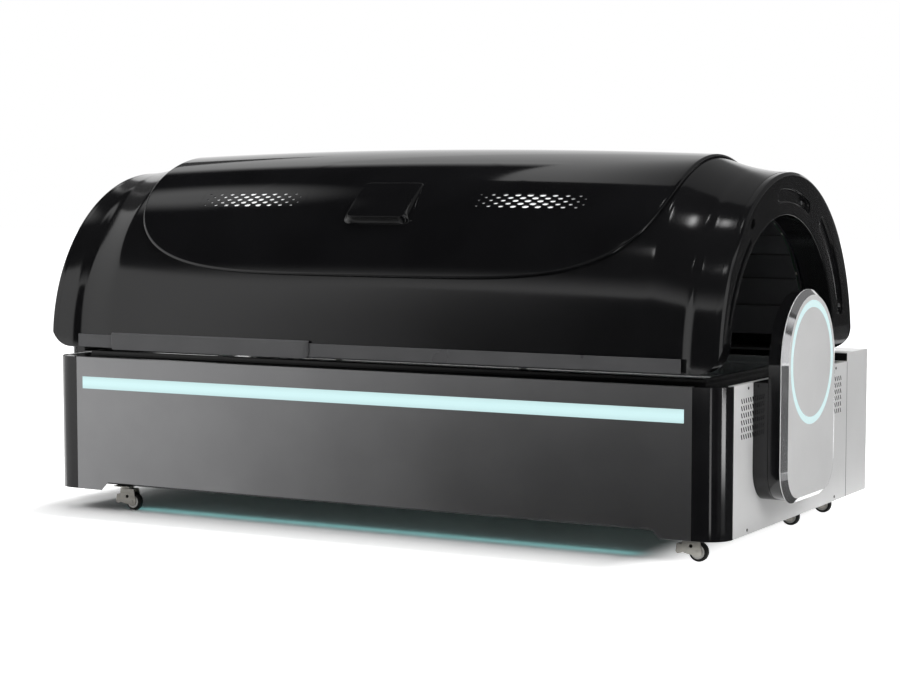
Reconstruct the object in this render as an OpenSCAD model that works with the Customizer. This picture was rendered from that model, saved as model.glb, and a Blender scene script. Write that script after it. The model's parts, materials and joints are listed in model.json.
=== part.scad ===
// Red light therapy bed: a light cabinet on six castors with a hinged arched canopy.
// The origin is at the middle of the bounding box, on the floor. +X runs along the bed
// to the right of someone facing it, +Y runs to the rear, +Z runs up.
// Inside from_front(), y is counted from the plane of the front panel.

/* [Cabinet] */
// Length of the cabinet over its two side panels
cab_len = 2198; // [2000:1:2400]
// Depth from the front panel to the rear cover
cab_dep = 1157; // [1140:1:1250]
// Height of the cabinet's lower edge above the floor
cab_bottom = 69; // [66:1:110]
// Height of the front part's upper edge
cab_top = 473; // [440:1:480]
// Height of the rear housing's top
rear_top = 498; // [490:1:502]
// Depth of the rear housing
rear_dep = 187; // [172:1:207]
// Radius of the two front corners
corner_r = 68; // [40:1:75]
// Flat stretch of each corner column beside the front panel
corner_flat = 21; // [10:1:60]
// Thickness of the sheet metal
sheet = 2; // [1:0.5:3]
// Wall of the corner columns
corner_wall = 3; // [2:0.5:5]
// Joint between two neighbouring panels
seam = 0.5; // [0.3:0.1:1.5]
// Width of the flanges folded behind the panels
flange_w = 16; // [8:1:25]
// Height of the raised middle of the front panel's lower edge
notch_h = 25; // [0:1:40]
// Distance from the front panel's end to the raised edge
notch_in = 90; // [60:1:200]

/* [Light strip] */
// Distance of the light strip's ends from the front panel's ends
strip_in = 23; // [15:1:250]
// Height of the front light strip
strip_h = 36; // [20:1:50]
// Distance from the strip's top to the cabinet's top edge
strip_drop = 60; // [40:1:120]
// Thickness of the strip's diffuser
strip_t = 8; // [4:1:15]

/* [Side vents] */
// Rows of slots in each block
vent_rows = 6; // [3:1:8]
// Columns of slots in each block
vent_cols = 8; // [4:1:10]
// Pitch of the rows
vent_row_pitch = 19; // [17:0.5:25]
// Pitch of the columns
vent_col_pitch = 16; // [14:0.5:20]
// Height of one slot
vent_slot_h = 13; // [8:0.5:15]
// Width of one slot
vent_slot_w = 6; // [3:0.5:8]
// Sideways lean of a slot from its top to its foot
vent_slant = 6; // [0:0.5:8]
// Distance from the side panel's edge to the first column
vent_margin = 50; // [40:1:90]
// Distance from the cabinet's top edge to the first row
vent_drop = 38; // [30:1:80]
// Radius of a panel screw's head
screw_r = 4; // [2.5:0.5:6]
// Distance of the panel screws from the panel's front and rear edges
screw_in = 101; // [40:1:130]
// Distance of the panel screws from the panel's upper and lower edges
screw_up = 13; // [8:1:30]

/* [Pillars] */
// Depth from the front panel to the pillars' middle
pillar_y = 395; // [300:1:500]
// Height of the ring light's middle
pillar_z = 517; // [490:1:560]
// Half width of a pillar's body
pillar_r = 190; // [150:1:195]
// How far the silver plate stands past the body all round
plate_over = 7; // [0:1:15]
// Height of the pillar body's lower edge
pillar_bottom = 150; // [110:1:220]
// Radius of the body's lower corners
pillar_corner = 90; // [40:1:120]
// Thickness of the black mounting block
block_t = 42; // [35:1:60]
// Thickness of the black pillar body
body_t = 36; // [25:1:50]
// Thickness of the silver plate
plate_t = 18; // [12:1:25]
// Width of the bevel round the silver plate
plate_bevel = 15; // [5:1:18]
// Outer radius of the ring light
ring_r = 168; // [120:1:175]
// Width of the ring light
ring_w = 19; // [10:1:30]
// Depth of the ring light's groove
ring_depth = 5; // [3:0.5:10]

/* [Lying surface] */
// Depth from the front panel to the acrylic sheet's front edge
bed_y0 = 95; // [80:1:120]
// Distance of the acrylic sheet's rear edge from the rear housing
bed_back = 110; // [90:1:170]
// Distance of the acrylic sheet's ends from the cabinet's ends
bed_in = 99; // [79:1:299]
// Thickness of the acrylic sheet
bed_t = 6; // [4:0.5:10]
// How far the lying surface dips in its middle
bed_sag = 32; // [10:1:40]
// Width of the raised rim round the lying surface
rim_w = 16; // [8:1:25]
// Height of the raised rim above the cabinet's top edge
rim_h = 14; // [6:1:20]
// Thickness of the black deck
deck_t = 15; // [8:1:20]

/* [Canopy] */
// Distance of the canopy's ends inside the cabinet's ends
canopy_in = 4; // [2:1:100]
// How far the canopy stands in front of the front panel
canopy_nose = 15; // [14:0.5:20]
// Distance from the canopy's back to the cabinet's back
canopy_back = 136; // [134:1:150]
// Height of the outer arch's centre
arch_z = 512; // [508:0.5:520]
// Height of the canopy's lower edge
canopy_bottom = 505; // [504:0.5:507]
// Rise of the crown over the end arches
crown_up = 59; // [30:1:90]
// How far the shell's top falls from its middle to the ends of the cover
crown_drop = 18; // [0:1:30]
// Distance from the canopy's ends to where the shell starts to flare down
flare_start = 215; // [195:1:295]
// Distance from the canopy's ends to where the flare runs out
flare_stop = 0; // [0:1:60]
// Thickness of the moulded shell
shell_t = 5; // [3:0.5:6]
// Radius of the canopy's lower end corners, seen from the front
foot_r = 75; // [30:1:90]
// Thickness of an end arch
end_t = 25; // [15:1:30]
// Bevel round an end arch
end_bevel = 7; // [2:1:12]

/* [Tunnel] */
// Width of an end arch's ring beside the tunnel's mouth
ring_wide = 111; // [109:0.5:118]
// How far the tunnel's centre lies in front of the outer arch's centre
tunnel_fore = 48.5; // [46:0.5:51]
// Height of the tunnel's centre
tunnel_z = 505; // [503:0.5:507]
// Number of acrylic strips round the tunnel
strips = 13; // [9:2:17]
// Angle taken by one acrylic strip
strip_angle = 12.8; // [8:0.1:13]
// Thickness of the acrylic strips
acrylic_t = 4; // [3:0.5:5]
// Distance of the acrylic strips' ends inside the canopy's ends
liner_in = 95; // [90:1:110]
// Length of the mouth's inner collar
collar_len = 54; // [20:1:60]
// Wall of the mouth's inner collar
collar_t = 3; // [2:0.5:4]
// Thickness of the light boards
board_t = 3; // [1.5:0.5:4]
// Distance from the acrylic strips to the light boards
board_gap = 8; // [4:1:10]
// Thickness of the canopy's frame arches
rib_t = 6; // [3:1:10]
// Distance of the two inner frame arches from the acrylic strips' ends
rib_in_x = 300; // [150:1:500]
// Thickness of the canopy frame's long sills
sill_t = 5; // [4:1:20]

/* [Cover and fittings] */
// Distance of the cover's ends from the start of the flare
cover_end = 2; // [1:1:180]
// Angle from the canopy's top to the cover's lower edge
cover_angle = 65; // [50:1:70]
// Gap between the cover and the shell
cover_gap = 1.2; // [1:0.1:3]
// Squareness of the cover's outline
cover_power = 4.6; // [3:0.1:8]
// Height of the cover's face over the shell
cover_rise = 10; // [5:0.5:14]
// Distance from the middle to each grille's middle
grille_x = 462; // [350:1:550]
// Angle of the grilles above the horizontal
grille_angle = 51.5; // [45:0.5:60]
// Half length of a grille
grille_half = 186; // [120:1:220]
// Half height of a grille
grille_up = 30; // [30:1:45]
// Gap between a grille and the edge of its window
grille_gap = 0.8; // [0.5:0.1:1]
// Holes in one row of a grille
grille_cols = 9; // [6:1:10]
// Rows of holes in a grille
grille_rows = 5; // [2:1:5]
// Half width of the largest holes
hole_wide = 10.5; // [6:0.5:12]
// Half height of the largest holes
hole_high = 5.5; // [3:0.5:6]
// Half length of the sensor pod
pod_half = 98; // [60:1:120]
// Angle of the pod's middle above the horizontal
pod_angle = 50.5; // [45:0.5:60]
// Half height of the pod along the cover
pod_up = 76; // [40:1:90]
// Height of the pod's lower edge over the cover
pod_rise = 20; // [8:1:20]
// Height of the pod's upper edge over the cover
pod_low = 3; // [3:0.5:8]
// Distance of the lip band's ends inside the canopy's ends
lip_in = 110; // [90:1:295]
// Height of the lip band
lip_h = 38; // [20:1:45]
// Thickness of the lip band
lip_t = 5; // [3:0.5:8]
// Height of the grip strip
grip_h = 52; // [48:1:60]
// Thickness of the grip strip
grip_t = 8; // [6:0.5:12]
// Distance of the grip strip's left end inside the canopy's left end
grip_in = 239; // [150:1:400]
// Length of the grip strip
grip_len = 700; // [400:1:800]

/* [Hinge and gas springs] */
// Distance of the hinge axis in front of the cabinet's back
hinge_in = 72; // [62:1:82]
// Height of the hinge axis
hinge_z = 470; // [462:1:474]
// Radius of the hinge pins
pin_r = 6; // [5:0.5:8]
// Thickness of the hinge arms
arm_t = 8; // [5:0.5:12]
// Radius of the hinge arms' eyes
arm_r = 15; // [12:0.5:17]
// Length of the spring lever on a hinge arm
lever_len = 40; // [36:1:44]
// Angle of the spring lever below the horizontal
lever_angle = 28; // [20:1:35]
// Radius of the pins that the gas springs turn on
spring_pin_r = 5; // [4:0.5:6]
// Height of the gas springs' lower pins
spring_z = 114; // [112:1:130]
// Radius of a gas spring's cylinder
spring_r = 11; // [8:0.5:12]
// Length of a gas spring's cylinder
spring_len = 200; // [150:1:220]
// Radius of a gas spring's rod
rod_r = 5; // [3:0.5:6]
// Width of a gas spring's eyes
eye_w = 12; // [8:1:16]
// Play of the gas spring's upper eye on its pin
eye_play = 2; // [1.5:0.1:3]

/* [Castors] */
// Radius of the wheels
wheel_r = 27; // [22:0.5:30]
// Width of the wheels
wheel_w = 20; // [14:1:24]
// Distance from the swivel axis to the wheel's axle
trail = 28; // [15:1:32]
// Radius of the axles
axle_r = 4; // [3:0.5:5]
// Distance of the right-hand castors inside the cabinet's end
castor_right_in = 133; // [89:1:299]
// Distance of the left-hand castors inside the cabinet's end
castor_left_in = 204; // [89:1:299]
// Depth from the front panel to the front castors
castor_front = 95; // [90:1:130]
// Distance of the middle castors in front of the rear housing
castor_ahead = 178; // [150:1:370]
// Distance of the rear castors in front of the cabinet's back
castor_rear_in = 85; // [77:1:92]
// Side of a castor's square top plate
plate_side = 58; // [50:1:70]
// Radius of the swivel's king pin
king_r = 5; // [4:0.5:6]
// Thickness of the fork's plates
fork_t = 3; // [2:0.5:4]
// Length of the brake pedal in front of the swivel axis
pedal_len = 36; // [25:1:40]

/* [Frame] */
// Side of the square frame tubes
tube = 25; // [20:1:30]
// Distance of the inner frame posts from the middle
post_x = 360; // [250:1:500]
// Gap between the frame and the panels
frame_gap = 0.5; // [0.3:0.1:2]

// Length of a power supply
supply_len = 200; // [150:1:220]
// Depth of a power supply
supply_dep = 120; // [90:1:140]
// Height of a power supply
supply_h = 45; // [35:1:60]
// Distance of the inner power supplies from the middle
supply_gap = 20; // [10:1:40]

/* [Fits] */
// Radial play of a running fit
run_fit = 0.05; // [0.02:0.01:0.1]
// Gap between two pieces that sit in one another
seat = 0.3; // [0.2:0.1:0.6]
// Gap between a hinge arm and its cheeks
side_play = 0.5; // [0.3:0.1:1]

/* [Hidden] */
$fn = 64;

over = 1;
cab_half = cab_len / 2;
rear_y = cab_dep - rear_dep;
panel_half = cab_half - corner_r - corner_flat;
strip_len = 2 * (panel_half - strip_in);
bed_y1 = rear_y - bed_back;
bed_half = cab_half - bed_in;
canopy_half = cab_half - canopy_in;
end_r = (cab_dep - canopy_back + canopy_nose) / 2;
arch_y = end_r - canopy_nose;
shell_top = arch_z + end_r + crown_up;
flare_in = canopy_half - flare_start;
flare_out = canopy_half - flare_stop;
tunnel_r = end_r - ring_wide;
tunnel_y = arch_y - tunnel_fore;
liner_half = canopy_half - liner_in;
rib_x = liner_half - rib_in_x;
cover_half = flare_in - cover_end;
lip_half = canopy_half - lip_in;
grip_left = canopy_half - grip_in;
grip_right = grip_left - grip_len;
hinge_y = cab_dep - hinge_in;
castor_right = cab_half - castor_right_in;
castor_left = cab_half - castor_left_in;
castor_middle = rear_y - castor_ahead;
castor_rear = cab_dep - castor_rear_in;
panel_y0 = corner_r + seam;
panel_y1 = rear_y - seam;
screw_ys = [panel_y0 + screw_in, panel_y1 - screw_in];
screw_zs = [cab_bottom + screw_up, cab_top - screw_up];
last_col = panel_y1 - vent_margin - vent_slot_w - vent_slant;
shell_face = arch_y - end_r;
lip_y = shell_face - seat;
grip_y = lip_y - lip_t;
nose = grip_t - grip_y;
front_y = -(cab_dep - nose) / 2;
plate_r = pillar_r + plate_over;
plate_corner = pillar_corner + plate_over;
plate_bottom = pillar_bottom - plate_over;
block_x = cab_half + block_t;
body_x = block_x + body_t;
plate_x = body_x + plate_t;
strip_z = cab_top - strip_drop - strip_h;
frame_z = cab_bottom + 6;
rail_top = cab_top - deck_t - sheet;
bed_board_z = cab_top + rim_h - bed_t - bed_sag - 20 - board_t;
board_rail_top = bed_board_z - seat;
bed_radius = (pow((bed_y1 - bed_y0) / 2, 2) + pow(bed_sag, 2)) / (2 * bed_sag);
bed_mid = (bed_y0 + bed_y1) / 2;
frame_x = cab_half - sheet - frame_gap;
hinge_rail_y = cab_dep - sheet - 15 - tube;
hinge_rail_top = hinge_z - arm_r - 10;
hinge_xs = [-rib_x, 0, rib_x];
arm_x0 = rib_t / 2;
cheek_t = 6;
ear_t = 4;
spring_x = arm_x0 + arm_t + side_play + cheek_t + 1.5 + eye_w / 2;
sill_slot_y = arch_y + end_r - 92;
spring_y = hinge_y - lever_len * cos(lever_angle);
spring_top = hinge_z - lever_len * sin(lever_angle);
castors = [[castor_right, castor_front], [-castor_left, castor_front], [castor_right, castor_middle],
    [-castor_left, castor_middle], [castor_right, castor_rear], [-castor_left, castor_rear]];
fork_top = frame_z - 9;
fork_in = wheel_w / 2 + 1;
pedal_x = -8;
pedal_z = 38;
pedal_pin_r = 2.5;
liner_apothem = tunnel_r * cos(strip_angle / 2);
rib_xs = [-liner_half - rib_t, -rib_x, 0, rib_x, liner_half + rib_t];
rib_in = (liner_apothem + acrylic_t) / cos(strip_angle / 2) + 0.1;
rib_out = end_r - shell_t - 2 * seat;
inlet_x = -cab_half + 199;
inlet_z = 130;
inlet_w = 32;
inlet_h = 26;
black = [0.06, 0.06, 0.07];
silver = [0.74, 0.75, 0.76];

// Placing helpers
module from_front() { translate([0, front_y, 0]) children(); }
module mirrored(side) { mirror([side < 0 ? 1 : 0, 0, 0]) children(); }
// Extrudes a drawing of depth and height along the bed from x0 to x1
module along_x(x0, x1) { translate([x0, 0, 0]) rotate([90, 0, 90]) linear_extrude(x1 - x0) children(); }
// Extrudes a drawing of length and height towards the rear from y0 to y1
module along_y(y0, y1) { translate([0, y1, 0]) rotate([90, 0, 0]) linear_extrude(y1 - y0) children(); }
module bar(x0, x1, y0, y1, z0, z1) { translate([x0, y0, z0]) cube([x1 - x0, y1 - y0, z1 - z0]); }
module bar_pair(x0, x1, y0, y1, z0, z1) {
    bar(x0, x1, y0, y1, z0, z1);
    bar(-x1, -x0, y0, y1, z0, z1);
}

// Welded frame of square tube that carries every panel, the hinges and the castors
module base_frame() {
    x1 = frame_x;
    x0 = frame_x - tube;
    rows = [castor_front, castor_middle, castor_rear];
    top_rows = [bed_y0 - tube - 2, bed_y1 + 8];
    color("dimgray") from_front() union() {
        for (y = rows) bar(-x1, x1, y - tube / 2, y + tube / 2, frame_z, frame_z + tube);
        bar_pair(x0, x1, corner_r + 4, hinge_rail_y + tube, frame_z, frame_z + tube);
        bar_pair(post_x, post_x + tube, castor_front, hinge_rail_y + tube, frame_z, frame_z + tube);
        for (y = [castor_front, castor_middle]) {
            bar_pair(x0, x1, y - tube / 2, y + tube / 2, frame_z, rail_top);
            bar_pair(post_x, post_x + tube, y - tube / 2, y + tube / 2, frame_z, board_rail_top);
        }
        bar_pair(x0, x1, castor_front - tube / 2, bed_y1 + 8 + tube, rail_top - tube, rail_top);
        for (y = top_rows) bar(-x1, x1, y, y + tube, rail_top - tube, rail_top);
        bar_pair(post_x, post_x + tube, bed_y0 - tube - 2, bed_y1 + 8 + tube,
            board_rail_top - tube, board_rail_top);
        bar(-x1, x1, hinge_rail_y, hinge_rail_y + tube, hinge_rail_top - tube, hinge_rail_top);
        bar_pair(x0, x1, hinge_rail_y, hinge_rail_y + tube, frame_z, hinge_rail_top);
        bar_pair(post_x, post_x + tube, hinge_rail_y, hinge_rail_y + tube, frame_z, hinge_rail_top);
    }
}

// Dark front panel with its raised lower edge and the slot for the light strip
module front_panel() {
    h = cab_top - cab_bottom;
    w = panel_half - seam;
    color([0.22, 0.22, 0.23]) from_front() difference() {
        union() {
            along_y(0, sheet) difference() {
                translate([-w, cab_bottom]) square([2 * w, h]);
                polygon([[-w + notch_in, cab_bottom - over], [-w + notch_in, cab_bottom],
                    [-w + notch_in + notch_h, cab_bottom + notch_h],
                    [w - notch_in - notch_h, cab_bottom + notch_h],
                    [w - notch_in, cab_bottom], [w - notch_in, cab_bottom - over]]);
            }
            bar(-w, w, 0, flange_w, cab_top - sheet, cab_top);
            bar(-w + notch_in + notch_h, w - notch_in - notch_h, 0, flange_w,
                cab_bottom + notch_h, cab_bottom + notch_h + sheet);
        }
        bar(-strip_len / 2 - seat, strip_len / 2 + seat, -over, sheet + over, strip_z - seat,
            strip_z + strip_h + seat);
    }
}

// Pale diffuser of the front light strip, with the flange that seats behind the panel
module strip_light() {
    lap = 8;
    color([0.83, 0.95, 0.95]) from_front() union() {
        bar(-strip_len / 2, strip_len / 2, -0.5, strip_t, strip_z, strip_z + strip_h);
        bar(-strip_len / 2 - lap, strip_len / 2 + lap, sheet + seat, strip_t,
            strip_z - lap, strip_z + strip_h + lap);
    }
}

// Gloss black corner column: a flat stretch and a quarter round
module corner_column(side) {
    cx = cab_half - corner_r;
    color(black) from_front() mirrored(side) translate([0, 0, cab_bottom])
        linear_extrude(cab_top - cab_bottom) union() {
            translate([cx, corner_r]) intersection() {
                difference() {
                    circle(corner_r, $fn = 96);
                    circle(corner_r - corner_wall, $fn = 96);
                }
                translate([0, -corner_r]) square(corner_r);
            }
            translate([panel_half, 0]) square([corner_flat, corner_wall]);
        }
}

// One block of slanted slots, drawn with its first column at the origin
module slot_block(dir) {
    for (row = [0 : vent_rows - 1], col = [0 : vent_cols - 1])
        translate([dir * col * vent_col_pitch, -row * vent_row_pitch])
            polygon([[0, 0], [vent_slot_w, 0], [vent_slot_w + vent_slant, -vent_slot_h],
                [vent_slant, -vent_slot_h]]);
}

// Silver side panel with two blocks of slots, a folded top and four screw holes
module side_panel(side) {
    color(silver) from_front() mirrored(side) union() {
        along_x(cab_half - sheet, cab_half) difference() {
            translate([panel_y0, cab_bottom]) square([panel_y1 - panel_y0, cab_top - cab_bottom]);
            translate([panel_y0 + vent_margin, cab_top - vent_drop]) slot_block(1);
            translate([last_col, cab_top - vent_drop]) slot_block(-1);
            for (y = screw_ys, z = screw_zs) translate([y, z]) circle(screw_r / 2 + seat);
        }
        bar(cab_half - flange_w, cab_half - sheet, panel_y0, panel_y1, cab_top - sheet, cab_top);
    }
}

// Pan-head screws that hold the side panels
module panel_screws() {
    color([0.15, 0.15, 0.16]) from_front()
        for (side = [-1, 1], y = screw_ys, z = screw_zs)
            mirrored(side) translate([cab_half, y, z]) rotate([0, 90, 0]) union() {
                cylinder(h = 1.5, r = screw_r, $fn = 24);
                translate([0, 0, -sheet]) cylinder(h = sheet + over, r = screw_r / 2, $fn = 24);
            }
}

// Outline of a pillar: a half round above, straight sides and two rounded lower corners
module pillar_outline(r, corner, bottom) {
    translate([0, pillar_z]) circle(r, $fn = 128);
    translate([-r, bottom + corner]) square([2 * r, pillar_z - bottom - corner]);
    translate([-r + corner, bottom]) square([2 * (r - corner), pillar_z - bottom]);
    for (s = [-1, 1]) translate([s * (r - corner), bottom + corner]) circle(corner, $fn = 96);
}

// Black block that spaces the pillar off the side panel
module pillar_block(side) {
    color(black) from_front() mirrored(side) along_x(cab_half, block_x) intersection() {
        translate([pillar_y, 0]) pillar_outline(pillar_r, pillar_corner, pillar_bottom);
        translate([pillar_y - pillar_r, 0]) square([2 * pillar_r, cab_top]);
    }
}

// Black pillar body
module pillar_body(side) {
    color(black) from_front() mirrored(side) along_x(block_x, body_x)
        translate([pillar_y, 0]) pillar_outline(pillar_r, pillar_corner, pillar_bottom);
}

// Solid of the pillar plate: a straight rim and a bevel that runs all round
module bevelled_plate() {
    rim = plate_t - plate_bevel;
    r1 = plate_r - plate_bevel;
    c1 = plate_corner - plate_bevel;
    along_x(0, rim) pillar_outline(plate_r, plate_corner, plate_bottom);
    translate([rim, 0, pillar_z]) rotate([0, 90, 0])
        cylinder(h = plate_bevel, r1 = plate_r, r2 = r1, $fn = 128);
    for (s = [-1, 1]) translate([rim, s * (plate_r - plate_corner), plate_bottom + plate_corner])
        rotate([0, 90, 0]) cylinder(h = plate_bevel, r1 = plate_corner, r2 = c1, $fn = 96);
    translate([0, 0, plate_bottom + plate_corner]) linear_extrude(pillar_z - plate_bottom - plate_corner)
        polygon([[rim, -plate_r], [rim, plate_r], [plate_t, r1], [plate_t, -r1]]);
    translate([0, plate_r - plate_corner, 0]) rotate([90, 0, 0]) linear_extrude(2 * (plate_r - plate_corner))
        polygon([[rim, plate_bottom], [plate_t, plate_bottom + plate_bevel],
            [plate_t, pillar_z], [rim, pillar_z]]);
}

// Silver plate with the groove for the ring light
module pillar_plate(side) {
    color(silver) from_front() mirrored(side) translate([body_x, pillar_y, 0]) difference() {
        bevelled_plate();
        translate([plate_t - ring_depth, 0, pillar_z]) rotate([0, 90, 0]) difference() {
            cylinder(h = ring_depth + over, r = ring_r + seat, $fn = 128);
            translate([0, 0, -over])
                cylinder(h = ring_depth + 3 * over, r = ring_r - ring_w - seat, $fn = 128);
        }
    }
}

// Pale diffuser ring, flush with the plate
module ring_light(side) {
    color([0.80, 0.95, 0.96]) from_front() mirrored(side)
        translate([plate_x - ring_depth, pillar_y, pillar_z]) rotate([0, 90, 0]) difference() {
            cylinder(h = ring_depth, r = ring_r, $fn = 128);
            translate([0, 0, -over]) cylinder(h = ring_depth + 2 * over, r = ring_r - ring_w, $fn = 128);
        }
}

// Silver rear housing: two ends, a top with slots for the hinge arms and a front wall above the deck
module rear_housing() {
    slot_w = arm_t + 6;
    color(silver) from_front() difference() {
        bar(-cab_half, cab_half, rear_y, cab_dep - sheet, cab_bottom, rear_top);
        bar(-cab_half + sheet, cab_half - sheet, rear_y + sheet, cab_dep,
            cab_bottom - over, rear_top - sheet);
        bar(-cab_half + sheet, cab_half - sheet, rear_y - over, rear_y + 2 * sheet, cab_bottom - over,
            cab_top - deck_t - sheet);
        for (x = hinge_xs) translate([x + arm_x0 + arm_t / 2, 0, 0]) bar(-slot_w / 2, slot_w / 2,
            rear_y + 2 * sheet, hinge_y + arm_r + 6, rear_top - 3 * sheet, rear_top + over);
    }
}

// Rear cover sheet with two blocks of slots and the inlet's cut-out
module rear_cover() {
    color(silver) from_front() along_y(cab_dep - sheet, cab_dep) difference() {
        translate([-cab_half, cab_bottom]) square([cab_len, rear_top - cab_bottom]);
        for (s = [-1, 1]) translate([s * rib_x - (vent_cols - 1) * vent_col_pitch / 2, rear_top - vent_drop])
            slot_block(1);
        translate([inlet_x - inlet_w / 2 - seat, inlet_z - inlet_h / 2 - seat])
            square([inlet_w + 2 * seat, inlet_h + 2 * seat]);
    }
}

// Recessed mains inlet with its flange and three flat pins
module power_inlet() {
    flange = 6;
    depth = 28;
    color(black) from_front() difference() {
        union() {
            bar(inlet_x - inlet_w / 2, inlet_x + inlet_w / 2, cab_dep - depth, cab_dep,
                inlet_z - inlet_h / 2, inlet_z + inlet_h / 2);
            bar(inlet_x - inlet_w / 2 - flange, inlet_x + inlet_w / 2 + flange, cab_dep - sheet - seat - 3,
                cab_dep - sheet - seat, inlet_z - inlet_h / 2 - flange, inlet_z + inlet_h / 2 + flange);
        }
        difference() {
            bar(inlet_x - inlet_w / 2 + 3, inlet_x + inlet_w / 2 - 3, cab_dep - depth + 8, cab_dep + over,
                inlet_z - inlet_h / 2 + 3, inlet_z + inlet_h / 2 - 3);
            for (x = [-8, 0, 8]) bar(inlet_x + x - 1.25, inlet_x + x + 1.25, cab_dep - depth, cab_dep - 3,
                inlet_z - 4, inlet_z + 4);
        }
    }
}

// Black deck round the lying surface, with rounded front corners and a raised rim
module deck_outline(in) {
    x = cab_half - in;
    r = corner_r - in;
    difference() {
        union() {
            translate([-x + r, in]) square([2 * (x - r), rear_y - seat - in]);
            translate([-x, corner_r]) square([2 * x, rear_y - seat - corner_r]);
            for (s = [-1, 1]) translate([s * (x - r), corner_r]) circle(r, $fn = 96);
        }
        translate([-bed_half + rim_w, bed_y0 + rim_w])
            square([2 * (bed_half - rim_w), bed_y1 - bed_y0 - 2 * rim_w]);
    }
}
module deck() {
    rim_in = seat;
    color(black) from_front() difference() {
        union() {
            translate([0, 0, cab_top - deck_t - sheet]) linear_extrude(deck_t)
                deck_outline(corner_wall + seat);
            bar(-bed_half - rim_w, bed_half + rim_w, bed_y0 - rim_w, bed_y1 + rim_w,
                cab_top - deck_t, cab_top + rim_h);
        }
        bar(-bed_half + rim_w, bed_half - rim_w, bed_y0 + rim_w, bed_y1 - rim_w, cab_top - 3 * deck_t,
            cab_top + rim_h + over);
        along_x(-bed_half - rim_in, bed_half + rim_in) bed_space();
    }
}
// The acrylic sheet is a shallow trough bent to one large radius
module bed_arc(r, y0, y1, top) {
    intersection() {
        translate([bed_mid, cab_top + rim_h - bed_sag + bed_radius]) circle(r, $fn = 720);
        translate([y0, cab_top - 100]) square([y1 - y0, 100 + top]);
    }
}
module bed_space() {
    bed_arc(bed_radius + bed_t + seat, bed_y0 - seat, bed_y1 + seat, rim_h + over);
}

// Clear acrylic sheet that the user lies on
module bed_acrylic() {
    color([0.75, 0.85, 0.88, 0.5]) from_front() along_x(-bed_half, bed_half) difference() {
        bed_arc(bed_radius + bed_t, bed_y0, bed_y1, rim_h);
        translate([bed_mid, cab_top + rim_h - bed_sag + bed_radius]) circle(bed_radius, $fn = 720);
    }
}

// Three light boards under the lying surface, resting on the frame's cross rails
module bed_light_boards() {
    edge = 60;
    end = 20;
    split = 6;
    w = (bed_y1 - bed_y0 - 2 * edge) / 3;
    color([0.1, 0.25, 0.12]) from_front() for (i = [-1 : 1])
        bar(-bed_half + end, bed_half - end, bed_mid + i * (w + split) - w / 2,
            bed_mid + i * (w + split) + w / 2, bed_board_z, bed_board_z + board_t);
}

// Four switched power supplies and the control box on the frame's bottom rails
module power_supplies() {
    x1 = supply_len / 2 + supply_gap;
    color([0.7, 0.7, 0.72]) from_front() for (x = [-rib_x, -x1, x1, rib_x])
        bar(x - supply_len / 2, x + supply_len / 2, castor_middle - supply_dep / 2,
            castor_middle + supply_dep / 2, frame_z + tube, frame_z + tube + supply_h);
}

// Castor top plates, each with its swivel race and king pin
module castor_plate() {
    hole = plate_side / 2 - 8;
    difference() {
        translate([-plate_side / 2, -plate_side / 2, frame_z - 3]) cube([plate_side, plate_side, 3]);
        for (x = [-hole, hole], y = [-hole, hole]) translate([x, y, frame_z - 3 - over])
            cylinder(h = 3 + 2 * over, r = 3, $fn = 24);
    }
    translate([0, 0, fork_top + seat]) cylinder(h = frame_z - 3 - fork_top - seat, r = 20);
    translate([0, 0, fork_top - fork_t - 2]) cylinder(h = fork_t + 3, r = king_r);
    translate([0, 0, fork_top - fork_t - 2 - seat]) cylinder(h = 2, r = king_r + 2.5);
}
module castor_plates() {
    color([0.72, 0.7, 0.66]) from_front() for (c = castors) translate([c[0], c[1], 0]) castor_plate();
}

// Castor fork: a crown disc, two side plates with a rounded wheel end and the riveted axle
module fork_side() {
    difference() {
        union() {
            translate([trail, wheel_r]) circle(14, $fn = 48);
            polygon([[trail + 14, wheel_r], [trail + 6, fork_top], [-16, fork_top], [-16, 32], [-10, 22],
                [trail - 10, 17.5]]);
        }
        translate([10, 42]) circle(5, $fn = 32);
    }
}
module castor_fork(i) {
    c = castors[i];
    color([0.72, 0.7, 0.66]) from_front() translate([c[0], c[1], 0]) union() {
        difference() {
            union() {
                translate([0, 0, fork_top - fork_t]) cylinder(h = fork_t, r = 19);
                translate([-16, -fork_in, fork_top - fork_t]) cube([trail + 22, 2 * fork_in, fork_t]);
            }
            translate([0, 0, fork_top - 2 * fork_t]) cylinder(h = 3 * fork_t, r = king_r + run_fit);
        }
        along_y(-fork_in - fork_t, -fork_in) fork_side();
        along_y(fork_in, fork_in + fork_t) fork_side();
        translate([trail, fork_in + fork_t + 1.5, wheel_r]) rotate([90, 0, 0])
            cylinder(h = 2 * (fork_in + fork_t + 1.5), r = axle_r);
        if (i < 2) translate([pedal_x, fork_in, pedal_z]) rotate([90, 0, 0])
            cylinder(h = 2 * fork_in, r = pedal_pin_r);
    }
}

// Wheel with a crowned black tread and a bore for the axle
module castor_wheel(i) {
    c = castors[i];
    w = wheel_w / 2;
    color([0.05, 0.05, 0.05]) from_front() translate([c[0] + trail, c[1], wheel_r]) rotate([90, 0, 0])
        rotate_extrude($fn = 72) polygon([[axle_r + run_fit, -w], [wheel_r - 4, -w],
            [wheel_r - 1, -w + 2.5], [wheel_r, -w + 6], [wheel_r, w - 6], [wheel_r - 1, w - 2.5],
            [wheel_r - 4, w], [axle_r + run_fit, w]]);
}

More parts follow.
